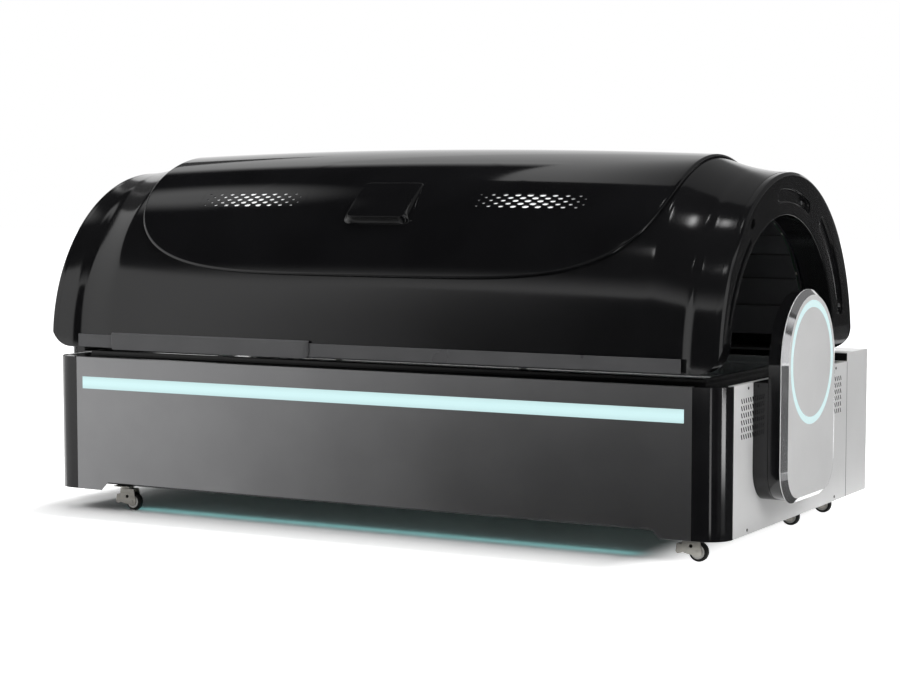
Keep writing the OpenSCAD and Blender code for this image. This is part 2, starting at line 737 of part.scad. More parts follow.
// Brake pedal of a front castor: a foot plate and a jaw over the tread, on a cross pin
module brake_pedal(i) {
    c = castors[i];
    w = fork_in - 1;
    color([0.66, 0.63, 0.58]) from_front() translate([c[0], c[1], 0]) difference() {
        along_y(-w, w) polygon([[-pedal_len, 24], [-pedal_len + 5, 18], [-17, 22], [-3, 30],
            [-1, 38], [-6, 45], [-14, 47], [-pedal_len + 3, 46]]);
        translate([pedal_x, w + over, pedal_z]) rotate([90, 0, 0])
            cylinder(h = 2 * (w + over), r = pedal_pin_r + run_fit);
    }
}

// Hinge cheeks on the frame's rear rail and the lower ears of the gas springs
module cheek(x0, x1) {
    along_x(x0, x1) difference() {
        union() {
            translate([hinge_y, hinge_z]) circle(arm_r - 1);
            polygon([[hinge_y - arm_r + 1, hinge_z], [hinge_y + arm_r - 1, hinge_z],
                [hinge_rail_y + tube, hinge_rail_top], [hinge_rail_y, hinge_rail_top]]);
        }
        translate([hinge_y, hinge_z]) circle(pin_r);
    }
}
module hinge_brackets() {
    back = castor_rear + tube / 2;
    color([0.3, 0.3, 0.32]) from_front() union() {
        for (x = hinge_xs) {
            cheek(x + arm_x0 - side_play - cheek_t, x + arm_x0 - side_play);
            cheek(x + arm_x0 + arm_t + side_play, x + arm_x0 + arm_t + side_play + cheek_t);
        }
        for (s = [-1, 1], e = [-1, 1])
            translate([s * rib_x + spring_x + e * (eye_w / 2 + side_play + ear_t / 2), 0, 0])
                along_x(-ear_t / 2, ear_t / 2) difference() {
                    translate([spring_y - 12, frame_z + tube]) square([back - spring_y + 12, 26]);
                    translate([spring_y, spring_z]) circle(spring_pin_r);
                }
    }
}

// Hinge pins and the lower pins of the gas springs
module hinge_pins() {
    head = 2;
    span = arm_t + 2 * (side_play + cheek_t);
    color([0.8, 0.8, 0.82]) from_front() {
        for (x = hinge_xs) translate([x + arm_x0 - side_play - cheek_t - head, hinge_y, hinge_z])
            rotate([0, 90, 0]) union() {
                cylinder(h = span + 2 * head, r = pin_r);
                cylinder(h = head - seat, r = pin_r + 3);
                translate([0, 0, span + head + seat]) cylinder(h = head - seat, r = pin_r + 3);
            }
        for (s = [-1, 1]) translate([s * rib_x + spring_x, spring_y, spring_z]) rotate([0, 90, 0])
            cylinder(h = eye_w + 2 * (side_play + ear_t), r = spring_pin_r, center = true);
    }
}

// Shape of the canopy's outside. The section is an arch about (arch_y, arch_z) whose radius
// grows towards the top; its top follows a gentle crown and flares down near the ends.
crown_r = shell_top - arch_z;
flare_k = (crown_r - crown_drop - end_r) / pow(flare_out - flare_in, 2);
function top_r(x) = min(crown_r - crown_drop * pow(x / flare_in, 2),
    end_r + flare_k * pow(max(0, flare_out - abs(x)), 2));
function skin_r(x, a) = end_r + (top_r(x) - end_r) * pow(sin(a), 2);
// Point of the outside at length x and angle a above the front horizontal, moved out by off
function skin(x, a, off) = let (r = skin_r(x, a) + off) [x, arch_y - r * cos(a), arch_z + r * sin(a)];
// Height of the lower edge at length x, with the rounded end corners
function foot_z(x) = abs(x) <= canopy_half - foot_r ? canopy_bottom
    : canopy_bottom + foot_r - sqrt(pow(foot_r, 2) - pow(abs(x) - canopy_half + foot_r, 2));
function foot_angle(x, off) = asin((foot_z(x) - arch_z) / (end_r + off));
// Slope of the outside's normal at the grilles above the horizontal
face_angle = grille_angle
    - atan((top_r(grille_x) - end_r) * sin(2 * grille_angle) / skin_r(grille_x, grille_angle));
grille_span = grille_up / skin_r(grille_x, grille_angle) * 180 / PI;

// Closed solid between two grids of points of equal size
module between(outer, inner) {
    n = len(outer) - 1;
    m = len(outer[0]) - 1;
    function o(i, j) = i * (m + 1) + j;
    function u(i, j) = (n + 1 + i) * (m + 1) + j;
    points = concat([for (row = outer, p = row) p], [for (row = inner, p = row) p]);
    faces = [for (i = [0 : n - 1], j = [0 : m - 1]) each [
        [o(i, j), o(i, j + 1), o(i + 1, j + 1)], [o(i, j), o(i + 1, j + 1), o(i + 1, j)],
        [u(i, j), u(i + 1, j + 1), u(i, j + 1)], [u(i, j), u(i + 1, j), u(i + 1, j + 1)]]];
    ends = [for (j = [0 : m - 1]) each [
        [o(0, j), u(0, j + 1), o(0, j + 1)], [o(0, j), u(0, j), u(0, j + 1)],
        [o(n, j), o(n, j + 1), u(n, j + 1)], [o(n, j), u(n, j + 1), u(n, j)]]];
    sides = [for (i = [0 : n - 1]) each [
        [o(i, 0), o(i + 1, 0), u(i + 1, 0)], [o(i, 0), u(i + 1, 0), u(i, 0)],
        [o(i, m), u(i + 1, m), o(i + 1, m)], [o(i, m), u(i, m), u(i + 1, m)]]];
    polyhedron(points, concat(faces, ends, sides), convexity = 6);
}

// Moulded canopy shell, with a window behind each grille
shell_half = canopy_half - end_t - seat;
flare_xs = [for (x = [flare_in : 30 : shell_half - 26]) x];
shell_xs = concat([for (i = [len(flare_xs) - 1 : -1 : 0]) -flare_xs[i]],
    [for (i = [-8 : 8]) i * (flare_in - 8) / 8], flare_xs);
shell_stations = concat([-shell_half, -shell_half + 18], shell_xs, [shell_half - 18, shell_half]);
module canopy_shell() {
    steps = 40;
    function row(x, off) = let (a0 = foot_angle(x, off))
        [for (j = [0 : steps]) skin(x, a0 + (180 - 2 * a0) * j / steps, off)];
    color(black) from_front() difference() {
        between([for (x = shell_stations) row(x, 0)], [for (x = shell_stations) row(x, -shell_t)]);
        for (s = [-1, 1]) window(s, -7);
    }
}
// Block through the canopy's outside at a grille, as large as the grille plus grow all round
module window(s, grow) {
    translate(skin(s * grille_x, grille_angle, 0)) rotate([-face_angle, 0, 0])
        translate([-grille_half - grow, -40, -grille_up - grow])
            cube([2 * (grille_half + grow), 80, 2 * (grille_up + grow)]);
}

// Patch of the canopy's outside between two offsets; power 0 gives it a square outline,
// higher powers a rounded one, and tilt lowers its upper edge and raises its lower one
module skin_patch(x_mid, x_half, a_mid, a_half, power, low, high, rows, cols, tilt = 0) {
    function up(t) = sin((power == 0 ? 90 : 88) * (2 * t / rows - 1));
    function reach(v) = power == 0 ? 1 : pow(1 - pow(abs(v), power), 1 / power);
    function at(i, v, off) = skin(x_mid + x_half * reach(v) * (2 * i / cols - 1), a_mid + a_half * v, off);
    function grid(off, lean) = [for (i = [0 : cols]) [for (t = [0 : rows])
        at(i, up(t), off - lean * up(t))]];
    between(grid(high, tilt), grid(low, 0));
}

// Raised gloss cover over the middle of the shell
module canopy_cover() {
    color(black) from_front() difference() {
        skin_patch(0, cover_half, 90, cover_angle, cover_power, cover_gap, cover_rise, 30, 16);
        for (s = [-1, 1]) window(s, grille_gap);
    }
}

// Perforated grilles, flush in the cover's windows
module vent_grilles() {
    row_pitch = 2 * grille_span / (grille_rows + 0.5);
    color([0.1, 0.1, 0.11]) from_front() for (s = [-1, 1]) difference() {
        skin_patch(s * grille_x, grille_half - 0.5, grille_angle, grille_span - 0.12, 0,
            cover_rise - 3, cover_rise, 4, 4);
        for (r = [0 : grille_rows - 1], c = [0 : grille_cols - 1]) {
            u = (c + 0.5 + (r % 2) / 2) / (grille_cols + 0.5) * 2 - 1;
            a = grille_angle + (r - (grille_rows - 1) / 2) * row_pitch;
            fade = 1 - 0.7 * pow(abs(u), 1.6);
            translate(skin(s * grille_x + u * (grille_half - 12), a, -10)) rotate([90 - face_angle, 0, 0])
                linear_extrude(40) polygon([for (k = [0 : 7])
                    fade * [hole_wide * cos(45 * k), hole_high * sin(45 * k)]]);
        }
    }
}

// White dust filters on the shell behind the grilles
module filter_pads() {
    color("white") from_front() for (s = [-1, 1])
        skin_patch(s * grille_x, grille_half - 1, grille_angle, grille_span - 0.25, 0,
            seat, cover_rise - 3 - seat, 4, 4);
}

// Low sensor pod on the cover
module sensor_pod() {
    a = pod_up / (skin_r(0, pod_angle) + cover_rise) * 180 / PI;
    color(black) from_front()
        skin_patch(0, pod_half, pod_angle, a, 9, cover_rise + seat, cover_rise + (pod_rise + pod_low) / 2,
            12, 8, (pod_rise - pod_low) / 2);
}

// End arch: a bevelled ring with an inner collar, three recesses and rounded feet
module arch_slot(r0, r1, a0, a1) {
    rm = (r0 + r1) / 2;
    w = (r1 - r0) / 2;
    intersection() {
        difference() {
            circle(r1, $fn = 128);
            circle(r0, $fn = 128);
        }
        polygon([[0, 0], 2 * r1 * [-cos(a0), sin(a0)], 2 * r1 * [-cos((a0 + a1) / 2), sin((a0 + a1) / 2)],
            2 * r1 * [-cos(a1), sin(a1)]]);
    }
    for (a = [a0, a1]) translate(rm * [-cos(a), sin(a)]) circle(w - 0.1, $fn = 48);
}
module end_arch(side) {
    x0 = canopy_half - end_t;
    groove = 8;
    foot_lift = 0.3;
    color(black) from_front() mirrored(side) intersection() {
        union() {
            difference() {
                translate([x0, arch_y, arch_z]) rotate([0, 90, 0]) union() {
                    cylinder(h = end_t - end_bevel, r = end_r, $fn = 180);
                    translate([0, 0, end_t - end_bevel])
                        cylinder(h = end_bevel, r1 = end_r, r2 = end_r - end_bevel, $fn = 180);
                }
                along_x(x0 - over, canopy_half + over)
                    translate([tunnel_y, tunnel_z]) circle(tunnel_r, $fn = 180);
                along_x(canopy_half - groove, canopy_half + over) translate([tunnel_y, tunnel_z]) {
                    arch_slot(tunnel_r + 18, tunnel_r + 34, 18, 52);
                    arch_slot(tunnel_r + 36, tunnel_r + 72, 84, 112);
                    arch_slot(tunnel_r + 46, tunnel_r + 92, 128, 164);
                }
            }
            along_x(x0 - collar_len, x0 + over) translate([tunnel_y, tunnel_z]) difference() {
                circle(tunnel_r + collar_t, $fn = 180);
                circle(tunnel_r, $fn = 180);
            }
        }
        along_y(-end_r, cab_dep + end_r) translate([0, canopy_bottom + foot_lift]) union() {
            square([canopy_half - foot_r, 2 * end_r]);
            translate([0, foot_r]) square([canopy_half, 2 * end_r]);
            translate([canopy_half - foot_r, foot_r]) circle(foot_r, $fn = 96);
        }
    }
}

// Flat strips laid round the tunnel as a polygon
module tunnel_strip(k, x0, x1, apothem, t) {
    a = 90 + (k - (strips - 1) / 2) * strip_angle;
    w = apothem * tan(strip_angle / 2) - seam;
    translate([0, tunnel_y, tunnel_z]) rotate([-a, 0, 0]) translate([x0, -apothem - t, -w])
        cube([x1 - x0, t, 2 * w]);
}
module tunnel_acrylic() {
    color([0.12, 0.12, 0.13]) from_front() for (k = [0 : strips - 1])
        tunnel_strip(k, -liner_half, liner_half, liner_apothem, acrylic_t);
}

// Light boards behind the acrylic strips, in bays between the frame arches
module canopy_light_boards() {
    color([0.1, 0.25, 0.12]) from_front() for (k = [0 : strips - 1], b = [0 : 3])
        tunnel_strip(k, rib_xs[b] + rib_t / 2 + seat, rib_xs[b + 1] - rib_t / 2 - seat,
            liner_apothem + acrylic_t + board_gap, board_t);
}

// Canopy frame: five arches that stand on two long sills
module rib_outline() {
    difference() {
        translate([arch_y, arch_z]) circle(rib_out, $fn = 180);
        translate([tunnel_y, tunnel_z]) circle(rib_in, $fn = 180);
    }
}
module canopy_ribs() {
    color([0.1, 0.1, 0.1]) from_front() for (x = rib_xs) along_x(x - rib_t / 2, x + rib_t / 2)
        intersection() {
            rib_outline();
            translate([-end_r, canopy_bottom + sill_t + seat]) square([4 * end_r, 2 * end_r]);
        }
}
// Long sills that close the canopy's underside, slotted for the hinge arms
module canopy_sills() {
    sill_half = liner_half + 1.5 * rib_t;
    color([0.1, 0.1, 0.1]) from_front() difference() {
        along_x(-sill_half, sill_half) intersection() {
            rib_outline();
            translate([-end_r, canopy_bottom]) square([4 * end_r, sill_t]);
        }
        for (x = hinge_xs) bar(x + arm_x0, x + arm_x0 + arm_t + seat, sill_slot_y, cab_dep,
            canopy_bottom - over, canopy_bottom + sill_t + over);
    }
}

// Hinge arms beside the inner frame arches, with their spring levers
module hinge_arm() {
    back = arch_y + end_r;
    difference() {
        union() {
            translate([hinge_y, hinge_z]) circle(arm_r);
            polygon([[hinge_y - arm_r * sin(30), hinge_z - arm_r * cos(30)],
                [hinge_y + arm_r * sin(30), hinge_z + arm_r * cos(30)],
                [back + 2, canopy_bottom - 2], [back - shell_t - 2, canopy_bottom - 2],
                [back - 12, canopy_bottom + sill_t], [back - 22, canopy_bottom + 90],
                [back - 70, canopy_bottom + 90], [sill_slot_y + 2, canopy_bottom + sill_t],
                [sill_slot_y + 2, canopy_bottom], [back - 40, canopy_bottom - 3]]);
            translate([spring_y, spring_top]) circle(spring_pin_r + 3);
            translate([hinge_y, hinge_z]) rotate(180 + lever_angle)
                translate([0, -8]) square([lever_len, 16]);
        }
        translate([hinge_y, hinge_z]) circle(pin_r + run_fit);
    }
}
module hinge_arms() {
    color([0.3, 0.3, 0.32]) from_front() {
        for (x = hinge_xs) along_x(x + arm_x0, x + arm_x0 + arm_t) hinge_arm();
        for (s = [-1, 1]) translate([s * rib_x + arm_x0 + arm_t, spring_y, spring_top]) rotate([0, 90, 0])
            cylinder(h = spring_x - arm_x0 - arm_t + eye_w / 2 + 3, r = spring_pin_r);
    }
}

// Gas spring: the cylinder turns on its lower pin and the rod slides out of it
spring_run = spring_top - spring_z;
module spring_cylinder(side) {
    color(black) from_front() translate([side * rib_x + spring_x, spring_y, spring_z]) difference() {
        union() {
            rotate([0, 90, 0]) cylinder(h = eye_w, r = spring_pin_r + 4, center = true);
            translate([0, 0, 6]) cylinder(h = 14, r = 6);
            translate([0, 0, 18]) cylinder(h = spring_len, r = spring_r);
        }
        rotate([0, 90, 0]) cylinder(h = 2 * eye_w, r = spring_pin_r + run_fit, center = true);
        translate([0, 0, 40]) cylinder(h = spring_len, r = rod_r + run_fit);
    }
}
module spring_rod(side) {
    eye_in = spring_pin_r + eye_play;
    color([0.8, 0.8, 0.82]) from_front() translate([side * rib_x + spring_x, spring_y, 0]) difference() {
        union() {
            translate([0, 0, spring_top]) rotate([0, 90, 0])
                cylinder(h = eye_w, r = eye_in + 3, center = true);
            translate([0, 0, spring_z + 60]) cylinder(h = spring_run - 61 - eye_in, r = rod_r);
        }
        translate([0, 0, spring_top]) rotate([0, 90, 0]) cylinder(h = 2 * eye_w, r = eye_in, center = true);
    }
}

// Dark band along the canopy's front lip
module lip_band() {
    color([0.28, 0.28, 0.3]) from_front()
        bar(-lip_half, lip_half, lip_y - lip_t, lip_y, canopy_bottom + 2, canopy_bottom + 2 + lip_h);
}

// Raised grip strip on the lip's left part, hollow underneath for the fingers
module grip_strip() {
    z0 = canopy_bottom - 4;
    color([0.25, 0.25, 0.27]) from_front() difference() {
        bar(-grip_left, -grip_right, grip_y - grip_t, grip_y, z0, z0 + grip_h);
        bar(-grip_left + 6, -grip_right - 6, grip_y - grip_t + 3, grip_y + over, z0 - over, z0 + grip_h - 8);
    }
}

base_frame();
front_panel();
strip_light();
corner_column(-1);  // corner_column_left
corner_column(1);  // corner_column_right
side_panel(-1);  // side_panel_left
side_panel(1);  // side_panel_right
panel_screws();
pillar_block(-1);  // pillar_block_left
pillar_block(1);  // pillar_block_right
pillar_body(-1);  // pillar_body_left
pillar_body(1);  // pillar_body_right
pillar_plate(-1);  // pillar_plate_left
pillar_plate(1);  // pillar_plate_right
ring_light(-1);  // ring_light_left
ring_light(1);  // ring_light_right
rear_housing();
rear_cover();
deck();
bed_acrylic();
bed_light_boards();
power_supplies();
power_inlet();
castor_plates();
hinge_brackets();
hinge_pins();
canopy_shell();
canopy_cover();
end_arch(-1);  // end_arch_left
end_arch(1);  // end_arch_right
tunnel_acrylic();
canopy_light_boards();
canopy_ribs();
canopy_sills();
lip_band();
grip_strip();
sensor_pod();
vent_grilles();
filter_pads();
hinge_arms();
spring_cylinder(-1);  // spring_cylinder_left
spring_cylinder(1);  // spring_cylinder_right
spring_rod(-1);  // spring_rod_left
spring_rod(1);  // spring_rod_right
castor_fork(0);  // castor_fork_1
castor_fork(1);  // castor_fork_2
castor_fork(2);  // castor_fork_3
castor_fork(3);  // castor_fork_4
castor_fork(4);  // castor_fork_5
castor_fork(5);  // castor_fork_6
castor_wheel(0);  // castor_wheel_1
castor_wheel(1);  // castor_wheel_2
castor_wheel(2);  // castor_wheel_3
castor_wheel(3);  // castor_wheel_4
castor_wheel(4);  // castor_wheel_5
castor_wheel(5);  // castor_wheel_6
brake_pedal(0);  // brake_pedal_1
brake_pedal(1);  // brake_pedal_2
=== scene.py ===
"""Light therapy bed: the visual model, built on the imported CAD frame."""

from __future__ import annotations

import json
import logging
import math
from collections.abc import Callable, Iterator, Sequence
from contextlib import contextmanager
from dataclasses import dataclass
from enum import Enum

import bmesh
import bpy
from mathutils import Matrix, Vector
from mathutils.kdtree import KDTree

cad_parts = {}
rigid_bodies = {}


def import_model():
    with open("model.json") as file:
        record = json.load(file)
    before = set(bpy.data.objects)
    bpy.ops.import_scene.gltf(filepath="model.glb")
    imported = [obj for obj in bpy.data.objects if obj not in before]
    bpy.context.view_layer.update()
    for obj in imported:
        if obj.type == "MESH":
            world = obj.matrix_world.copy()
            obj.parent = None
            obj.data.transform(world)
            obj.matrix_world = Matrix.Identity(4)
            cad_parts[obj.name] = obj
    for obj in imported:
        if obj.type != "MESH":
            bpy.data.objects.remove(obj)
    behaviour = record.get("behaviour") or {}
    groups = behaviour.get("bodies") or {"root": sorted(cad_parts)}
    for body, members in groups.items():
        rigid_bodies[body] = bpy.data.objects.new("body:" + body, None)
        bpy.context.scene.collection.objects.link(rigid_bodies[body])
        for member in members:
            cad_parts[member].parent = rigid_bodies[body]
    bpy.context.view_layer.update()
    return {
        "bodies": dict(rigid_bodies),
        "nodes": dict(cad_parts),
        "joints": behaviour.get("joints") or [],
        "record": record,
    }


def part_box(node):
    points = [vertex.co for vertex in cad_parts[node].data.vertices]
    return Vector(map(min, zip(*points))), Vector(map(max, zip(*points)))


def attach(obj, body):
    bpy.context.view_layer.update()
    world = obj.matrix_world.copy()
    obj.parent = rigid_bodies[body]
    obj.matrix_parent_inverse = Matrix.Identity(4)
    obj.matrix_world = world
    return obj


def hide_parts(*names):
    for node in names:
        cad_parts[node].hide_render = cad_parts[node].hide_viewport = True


log = logging.getLogger("therapy_bed")

FRONT = -0.56435  # y of the front panel's face, in metres
WHITE = (1.0, 1.0, 1.0, 1.0)
BLACK = (0.0, 0.0, 0.0, 1.0)
Pair = tuple[float, float]
Point = tuple[float, float, float]
Colour = tuple[float, float, float]
Piece = bpy.types.Object
Socket = bpy.types.NodeSocket
Value = Socket | float | Sequence[float]


def turns(total: float, steps: int, first: float = 0.0) -> list[float]:
    """Gives evenly spaced angles, both ends included.

    Args:
        total: The angle that they span.
        steps: Steps from end to end.
        first: The first angle.

    Returns:
        The angles in radians.
    """
    return [first + total * k / steps for k in range(steps + 1)]


class Axis(Enum):
    """Axis that a sheet faces."""

    X = 0
    Y = 1


class Grain(Enum):
    """What the surface of a finish shows close up."""

    PLAIN = "plain"
    BRUSHED = "brushed"
    GLOWING = "glowing"
    DIODES = "diodes"


@dataclass(frozen=True)
class Finish:
    """One surface finish and the record's material slot that it belongs to, which is not used.

    The colour drifts to a second one and the roughness varies by spread. The two scales
    are those of the slow and the fine noise, per metre. Clear is the share of light that
    passes. Centre and ring are the middle and the radius of a diffuser, and a straight
    one has no radius.
    """

    name: str
    slot: str
    colour: Colour
    drift: Colour
    roughness: float
    spread: float = 0.06
    metallic: float = 0.0
    specular: float = 0.5
    grain: Grain = Grain.PLAIN
    scale: float = 9.0
    relief: float = 0.08
    relief_scale: float = 420.0
    centre: Point = (0.0, 0.0, 0.0)
    ring: float = 0.0
    clear: float = 0.0
    # painted light: emission on a surface that is no lamp
    painted_glow: float = 0.0


CANOPY_GLOSS = Finish("canopy gloss", "gloss_black", (0.0040, 0.0040, 0.0043),
                      (0.0056, 0.0056, 0.006), 0.11, 0.03, scale=3.0, relief=0.012)
COVER_GLOSS = Finish("cover gloss", "gloss_black", (0.0030, 0.0030, 0.0033),
                     (0.0042, 0.0042, 0.0046), 0.07, 0.02, scale=4.0, relief=0.008)
GRILLE_GLOSS = Finish("grille gloss", "dark_plastic", (0.0030, 0.0030, 0.0033),
                      (0.0042, 0.0042, 0.0046), 0.07, 0.02, scale=4.0, relief=0.008)
PILLAR_GLOSS = Finish("pillar gloss", "gloss_black", (0.0045, 0.0045, 0.005),
                      (0.0065, 0.0065, 0.007), 0.1, 0.03, scale=6.0, relief=0.012)
DECK_BLACK = Finish("deck moulding", "gloss_black", (0.005, 0.005, 0.0054), (0.008, 0.008, 0.0085),
                    0.2, 0.04, specular=0.35, scale=8.0, relief=0.03)
FRONT_GREY = Finish("front powder coat", "front_grey", (0.28, 0.28, 0.285), (0.31, 0.31, 0.315),
                    0.32, 0.03, metallic=0.95, scale=5.0, relief=0.03, relief_scale=700.0)
LIP_GREY = Finish("lip moulding", "dark_plastic", (0.05, 0.05, 0.052), (0.06, 0.06, 0.062), 0.3,
                  0.06, specular=0.4, relief=0.04)
DARK_PLASTIC = Finish("dark plastic", "dark_plastic", (0.022, 0.022, 0.023), (0.03, 0.03, 0.031),
                      0.4, 0.08, relief=0.1)
SILVER = Finish("silver paint", "silver_paint", (0.64, 0.64, 0.64), (0.665, 0.665, 0.665), 0.4,
                0.06, metallic=0.1, scale=7.0, relief=0.04, relief_scale=900.0)
PLATE_SILVER = Finish("plate silver", "silver_plate", (0.63, 0.63, 0.63), (0.655, 0.655, 0.655),
                      0.36, 0.05, metallic=0.1, relief=0.03, relief_scale=900.0)
RIM_SILVER = Finish("plate rim silver", "silver_plate", (0.50, 0.50, 0.51), (0.55, 0.55, 0.56),
                    0.07, 0.01, metallic=0.9, relief=0.002)
STRIP_GLOW = Finish("strip diffuser", "light_strip", (0.58, 0.81, 0.82), (0.61, 0.84, 0.85), 0.35,
                    grain=Grain.GLOWING, centre=(0.0, 0.0, 0.395))
RING_GLOW = Finish("ring diffuser", "ring_glow", (0.62, 0.80, 0.81), (0.66, 0.83, 0.84), 0.35,
                   grain=Grain.GLOWING, centre=(0.0, FRONT + 0.395, 0.517), ring=0.1585)
CLEAR_SHEET = Finish("clear acrylic", "clear_acrylic", (0.86, 0.92, 0.93), (0.90, 0.95, 0.96),
                     0.04, 0.03, relief=0.01, clear=0.94)
SMOKED_SHEET = Finish("smoked acrylic", "smoked_acrylic", (0.03, 0.03, 0.032), (0.04, 0.04, 0.042),
                      0.1, 0.04, specular=0.3, relief=0.02, clear=0.35)
BOARD = Finish("light board", "circuit_board", (0.02, 0.06, 0.035), (0.03, 0.08, 0.045), 0.45,
               0.08, grain=Grain.DIODES, scale=12.0, relief=0.1)
# Black for the dark joints in the tunnel, and painted shade on the vents' slot edges and on the
# sheets behind them.
SHADE_AND_JOINT_BLACK = Finish("painted shade and joint black", "dark_plastic", (0.006, 0.006, 0.006), (0.011, 0.011, 0.011),
                      0.9, 0.05, specular=0.1, scale=60.0, relief=0.3)
FRAME_PAINT = Finish("frame paint", "frame_paint", (0.05, 0.05, 0.053), (0.07, 0.07, 0.073), 0.45,
                     0.08, scale=20.0, relief=0.1)
RIB_PAINT = Finish("rib paint", "dark_frame", (0.012, 0.012, 0.013), (0.018, 0.018, 0.019), 0.5,
                   0.08, scale=20.0, relief=0.1)
STEEL = Finish("bright steel", "steel", (0.50, 0.50, 0.51), (0.58, 0.58, 0.59), 0.28, 0.1,
               metallic=1.0, grain=Grain.BRUSHED, scale=30.0, relief=0.06)
DARK_STEEL = Finish("blackened steel", "steel", (0.05, 0.05, 0.052), (0.08, 0.08, 0.083), 0.38,
                    0.06, metallic=0.8, scale=30.0, relief=0.04)
ZINC = Finish("zinc plating", "zinc", (0.24, 0.23, 0.21), (0.36, 0.35, 0.32), 0.34, 0.12,
              metallic=1.0, grain=Grain.BRUSHED, scale=45.0, relief=0.08)
HUB_GREY = Finish("castor hub", "zinc", (0.50, 0.49, 0.47), (0.58, 0.57, 0.55), 0.35, 0.05,
                  scale=60.0, relief=0.05)
TREAD = Finish("castor tread", "tread", (0.008, 0.008, 0.008), (0.014, 0.014, 0.013), 0.55, 0.1,
               specular=0.15, scale=60.0, relief=0.2)
# The filter fleece glows a little though it is no lamp: painted light that brightens the grille's
# dots.
FILTER = Finish("filter fleece", "filter_white", (0.82, 0.83, 0.84), (0.9, 0.9, 0.9), 0.9, 0.05,
                scale=90.0, relief=0.35, relief_scale=600.0, painted_glow=0.45)
CASE_METAL = Finish("case metal", "case_metal", (0.45, 0.46, 0.47), (0.54, 0.55, 0.56), 0.4, 0.1,
                    metallic=0.9, grain=Grain.BRUSHED, scale=25.0, relief=0.08)


class Wiring:
    """Adds and joins the shader nodes of one material or of the world."""

    def __init__(self, owner: bpy.types.Material | bpy.types.World) -> None:
        """Opens the node tree.

        Args:
            owner: The material or the world.
        """
        owner.use_nodes = True
        self.owner = owner
        self.tree = owner.node_tree
        shader = "Background" if isinstance(owner, bpy.types.World) else "Principled BSDF"
        self.shader = self.tree.nodes[shader]

    def fill(self, node: bpy.types.Node, inputs: dict[str | int, Value]) -> None:
        """Sets inputs of a node or links them.

        Args:
            node: The node.
            inputs: A value or another node's output for each input.
        """
        for name, value in inputs.items():
            if isinstance(value, Socket):
                self.tree.links.new(value, node.inputs[name])
            else:
                node.inputs[name].default_value = value

    def add(self, kind: str, inputs: dict[str | int, Value], output: str | int = 0,
            **settings: str | bool) -> Socket:
        """Adds a node.

        Args:
            kind: Its type, without the word ShaderNode.
            inputs: A value or another node's output for each input.
            output: The output that is wanted.
            settings: Its settings, such as its operation.

        Returns:
            That output.
        """
        node = self.tree.nodes.new("ShaderNode" + kind)
        for name, value in settings.items():
            setattr(node, name, value)
        self.fill(node, inputs)
        return node.outputs[output]

    def place(self) -> Socket:
        """Gives the object coordinates."""
        return self.add("TexCoord", {}, "Object")

    def split(self, vector: Socket) -> Sequence[Socket]:
        """Splits a vector into x, y and z."""
        return self.add("SeparateXYZ", {"Vector": vector}).node.outputs

    def reach(self, value: Socket, before: Pair, after: Pair, kind: str = "LINEAR") -> Socket:
        """Maps one range of values onto another.

        Args:
            value: The value.
            before: The range that it is read in.
            after: The range that it is mapped onto.
            kind: How it runs from end to end: LINEAR or SMOOTHSTEP.

        Returns:
            The mapped value.
        """
        return self.add("MapRange", {"Value": value, "From Min": before[0], "From Max": before[1],
                                     "To Min": after[0], "To Max": after[1]},
                        interpolation_type=kind)

    def drift(self, cloud: Socket, colours: Sequence[Colour], stops: Pair) -> Socket:
        """Drifts between two colours with a noise.

        Args:
            cloud: The noise.
            colours: The two colours.
            stops: Values of the noise at which the drift starts and ends.

        Returns:
            The colour.
        """
        colour = self.add("ValToRGB", {"Fac": cloud}, "Color")
        for element, stop, tone in zip(colour.node.color_ramp.elements, stops, colours):
            element.position = stop
            element.color = (*tone, 1.0)
        return colour

    def seen(self) -> Socket:
        """Gives 1 to rays from the camera, a mirror or clear matter, and 0 to the rest."""
        rays = self.tree.nodes.new("ShaderNodeLightPath").outputs
        seen = rays["Is Camera Ray"]
        for name in ("Is Glossy Ray", "Is Transmission Ray"):
            seen = self.add("Math", {0: seen, 1: rays[name]}, operation="ADD", use_clamp=True)
        return seen


